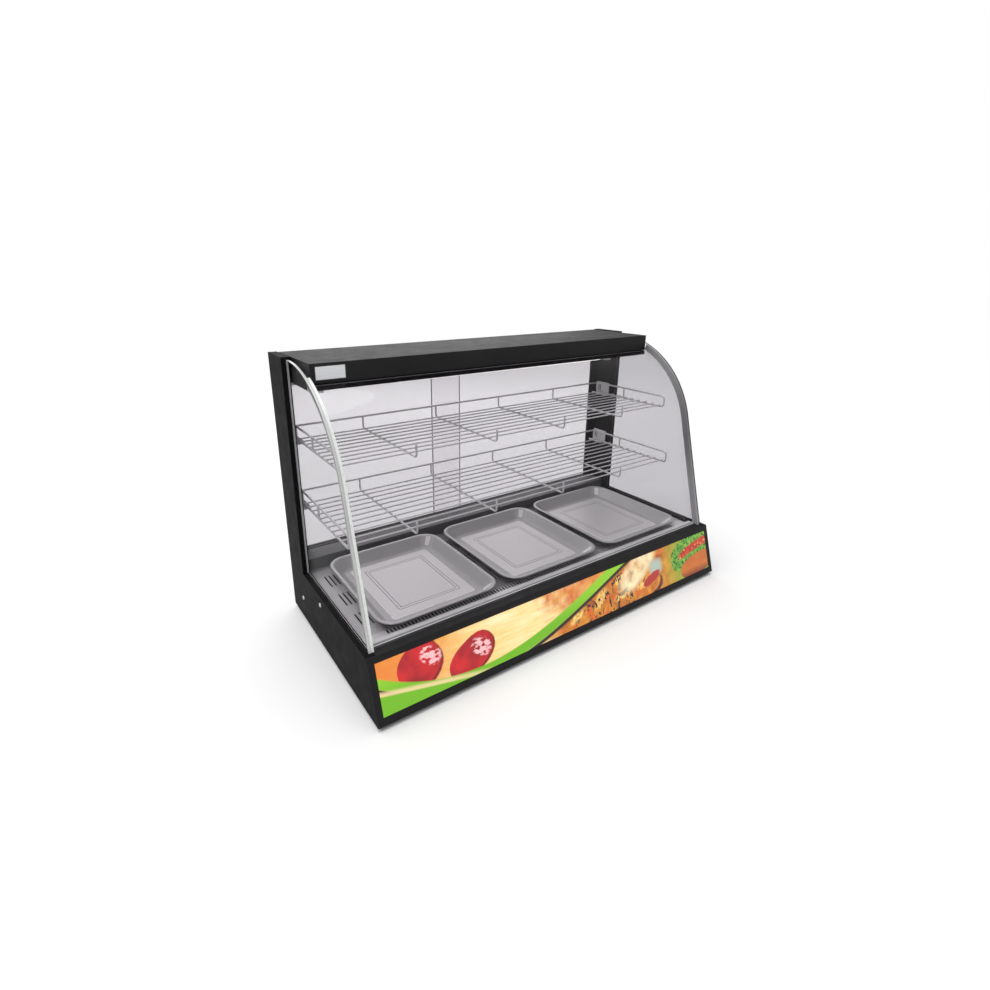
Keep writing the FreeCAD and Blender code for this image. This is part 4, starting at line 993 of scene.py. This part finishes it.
ALUMINIUM = brushed("satin_aluminium", (0.6, 0.61, 0.62), 0.32)
BRIGHT = brushed("bright_plate", (0.86, 0.87, 0.89), 0.3, (0.05, 1, 1), 0.05, 0.1)
PANE = clear("tinted_pane", (0.657, 0.644, 0.663))
LEFT_PANE = clear("left_tinted_pane", (0.62, 0.608, 0.626), 1.03)
RIGHT_PANE = clear("right_tinted_pane", (0.79, 0.78, 0.795))
DOOR_GLASS = clear("door_pane", (0.934, 0.923, 0.936))
BRIGHT_EDGE = ground_edge("bright_glass_edge", (0.86, 0.90, 0.87), (0.92, 0.94, 0.92), 0.1)
GREY_EDGE = ground_edge("grey_glass_edge", (0.16, 0.16, 0.165), (0.10, 0.10, 0.105))
FROST_EDGE = ground_edge("frosted_glass_edge", (0.62, 0.63, 0.62), (0.5, 0.51, 0.5), 0, 0.2)
DARK_EDGE = ground_edge("dark_glass_edge", (0.045, 0.044, 0.046), (0.03, 0.03, 0.031), 0, 0)
RIGHT_BEAD = bead("grey_bead", (0.40, 0.39, 0.41), (0.16, 0.155, 0.165))
TUBE = glowing("frosted_tube", (0.95, 0.95, 0.92), 0.15)
LIT_TUBE = glowing("lit_tube", (1.0, 0.97, 0.92), 2.5)
SHEATH = brushed("heater_sheath", (0.2, 0.18, 0.16), 0.5, (1, 1, 1), 0.3)
BLACK_PLASTIC = moulded("black_plastic", (0.012, 0.012, 0.012), 0.45)
WHITE_PLASTIC = moulded("white_plastic", (0.75, 0.75, 0.7))
RED = moulded("red_plastic", (0.55, 0.02, 0.015), 0.25)
GREEN = moulded("green_plastic", (0.03, 0.38, 0.07), 0.25)
GREEN_LENS = glowing("green_lens", (0.03, 0.45, 0.08), 0.2)
AMBER_LENS = glowing("amber_lens", (0.85, 0.30, 0.02), 0.2)
RUBBER = moulded("foot_rubber", (0.015, 0.015, 0.015), 0.8)
PRINT = printed("printed_panel")

LOOKS = {
    "black_coat": BLACK, "white_coat": WHITE, "stainless": PAN, "tray_steel": TRAY_LOOKS[LIT_FLOOR], "wire": WIRE,
    "track_metal": ALUMINIUM, "bracket_metal": PLATED, "clear_glass": PANE, "edge_bead": RIGHT_BEAD, "lamp_glass": TUBE,
    "printed_panel": PRINT, "heater_sheath": SHEATH, "black_plastic": BLACK_PLASTIC, "white_plastic": WHITE_PLASTIC,
    "red_plastic": RED, "green_plastic": GREEN, "amber_plastic": AMBER_LENS, "foot_rubber": RUBBER,
    "badge_metal": ALUMINIUM, "screw_steel": ZINC,
}
SPECIAL = {"front_glass_channel": STRIP, "deck_plate": DECK, "rear_sill": SHADED_SILL, "deck_ledges": PAN,
           "side_panel_left": SHADED_SIDE_BLACK, "side_panel_right": SHADED_SIDE_BLACK}
for subpart in frame["record"]["subparts"]:
    node = frame["nodes"][subpart["node"]]
    node.data.materials.clear()
    node.data.materials.append(SPECIAL.get(subpart["node"], LOOKS[subpart["material_slot"]]))

# Edge radii in mm, and the CAD nodes that have them.
SOFTENED = (
    (0.8, ("side_panel_left", "side_panel_right")),
    (0.3, ("column_cover_left", "column_cover_right", "rear_panel", "graphic_panel")),
    (0.7, ("front_frame",)),
    (0.4, ("base_tray", "canopy_soffit", "front_glass_channel", "heater_pan", "deck_ledges")),
    (0.9, ("canopy_shell",)),
    (0.6, ("front_glass_clip", "power_switch_housing", "light_switch_housing", "power_switch_rocker",
           "light_switch_rocker")),
    (1.0, ("canopy_brackets", "thermostat_body", "terminal_block")),
    (0.5, ("rear_sill", "upper_door_track", "door_pull_left", "door_pull_right", "light_box_reflector")),
    (0.35, ("rack_upper_brackets", "rack_lower_brackets")),
    (1.5, ("canopy_lamp_holders", "light_box_tube_holders")),
)
for width, softened in SOFTENED:
    for softened_node in softened:
        soften(softened_node, width)

for index, tray_body in enumerate(("left_tray", "middle_tray", "right_tray"), start=1):
    make_tray(index, tray_body, TRAY_LOOKS)
make_pane("side_glass_left", 0, [LEFT_PANE, FROST_EDGE])
make_left_bead([FROST_EDGE, BRIGHT_EDGE])
make_deck(DECK)
make_pane("side_glass_right", 0, [RIGHT_PANE, DARK_EDGE])
make_pane("front_glass", None, [PANE, BRIGHT_EDGE])
make_pane("door_left", 1, [DOOR_GLASS, GREY_EDGE], "left_door")
make_pane("door_right", 1, [DOOR_GLASS, GREY_EDGE], "right_door")
make_rack("upper", -280, 10, "upper_rack", WIRE)
make_rack("lower", -296, 11, "lower_rack", WIRE)
make_side_screws(ZINC)
make_bracket_screws(ZINC)
make_badge(BRIGHT, BLACK_PLASTIC)
make_hem(HEM_HIGHLIGHT)
make_feet(RUBBER)
make_gland(BLACK_PLASTIC)
make_knob("heat_knob", BLACK_PLASTIC, WHITE_PLASTIC)
make_dial(ALUMINIUM, BLACK_PLASTIC)
make_lenses({"power": (GREEN_LENS, "green_plastic"), "heating": (AMBER_LENS, "amber_plastic")}, ZINC)
make_lamp(LIT_TUBE, ALUMINIUM)
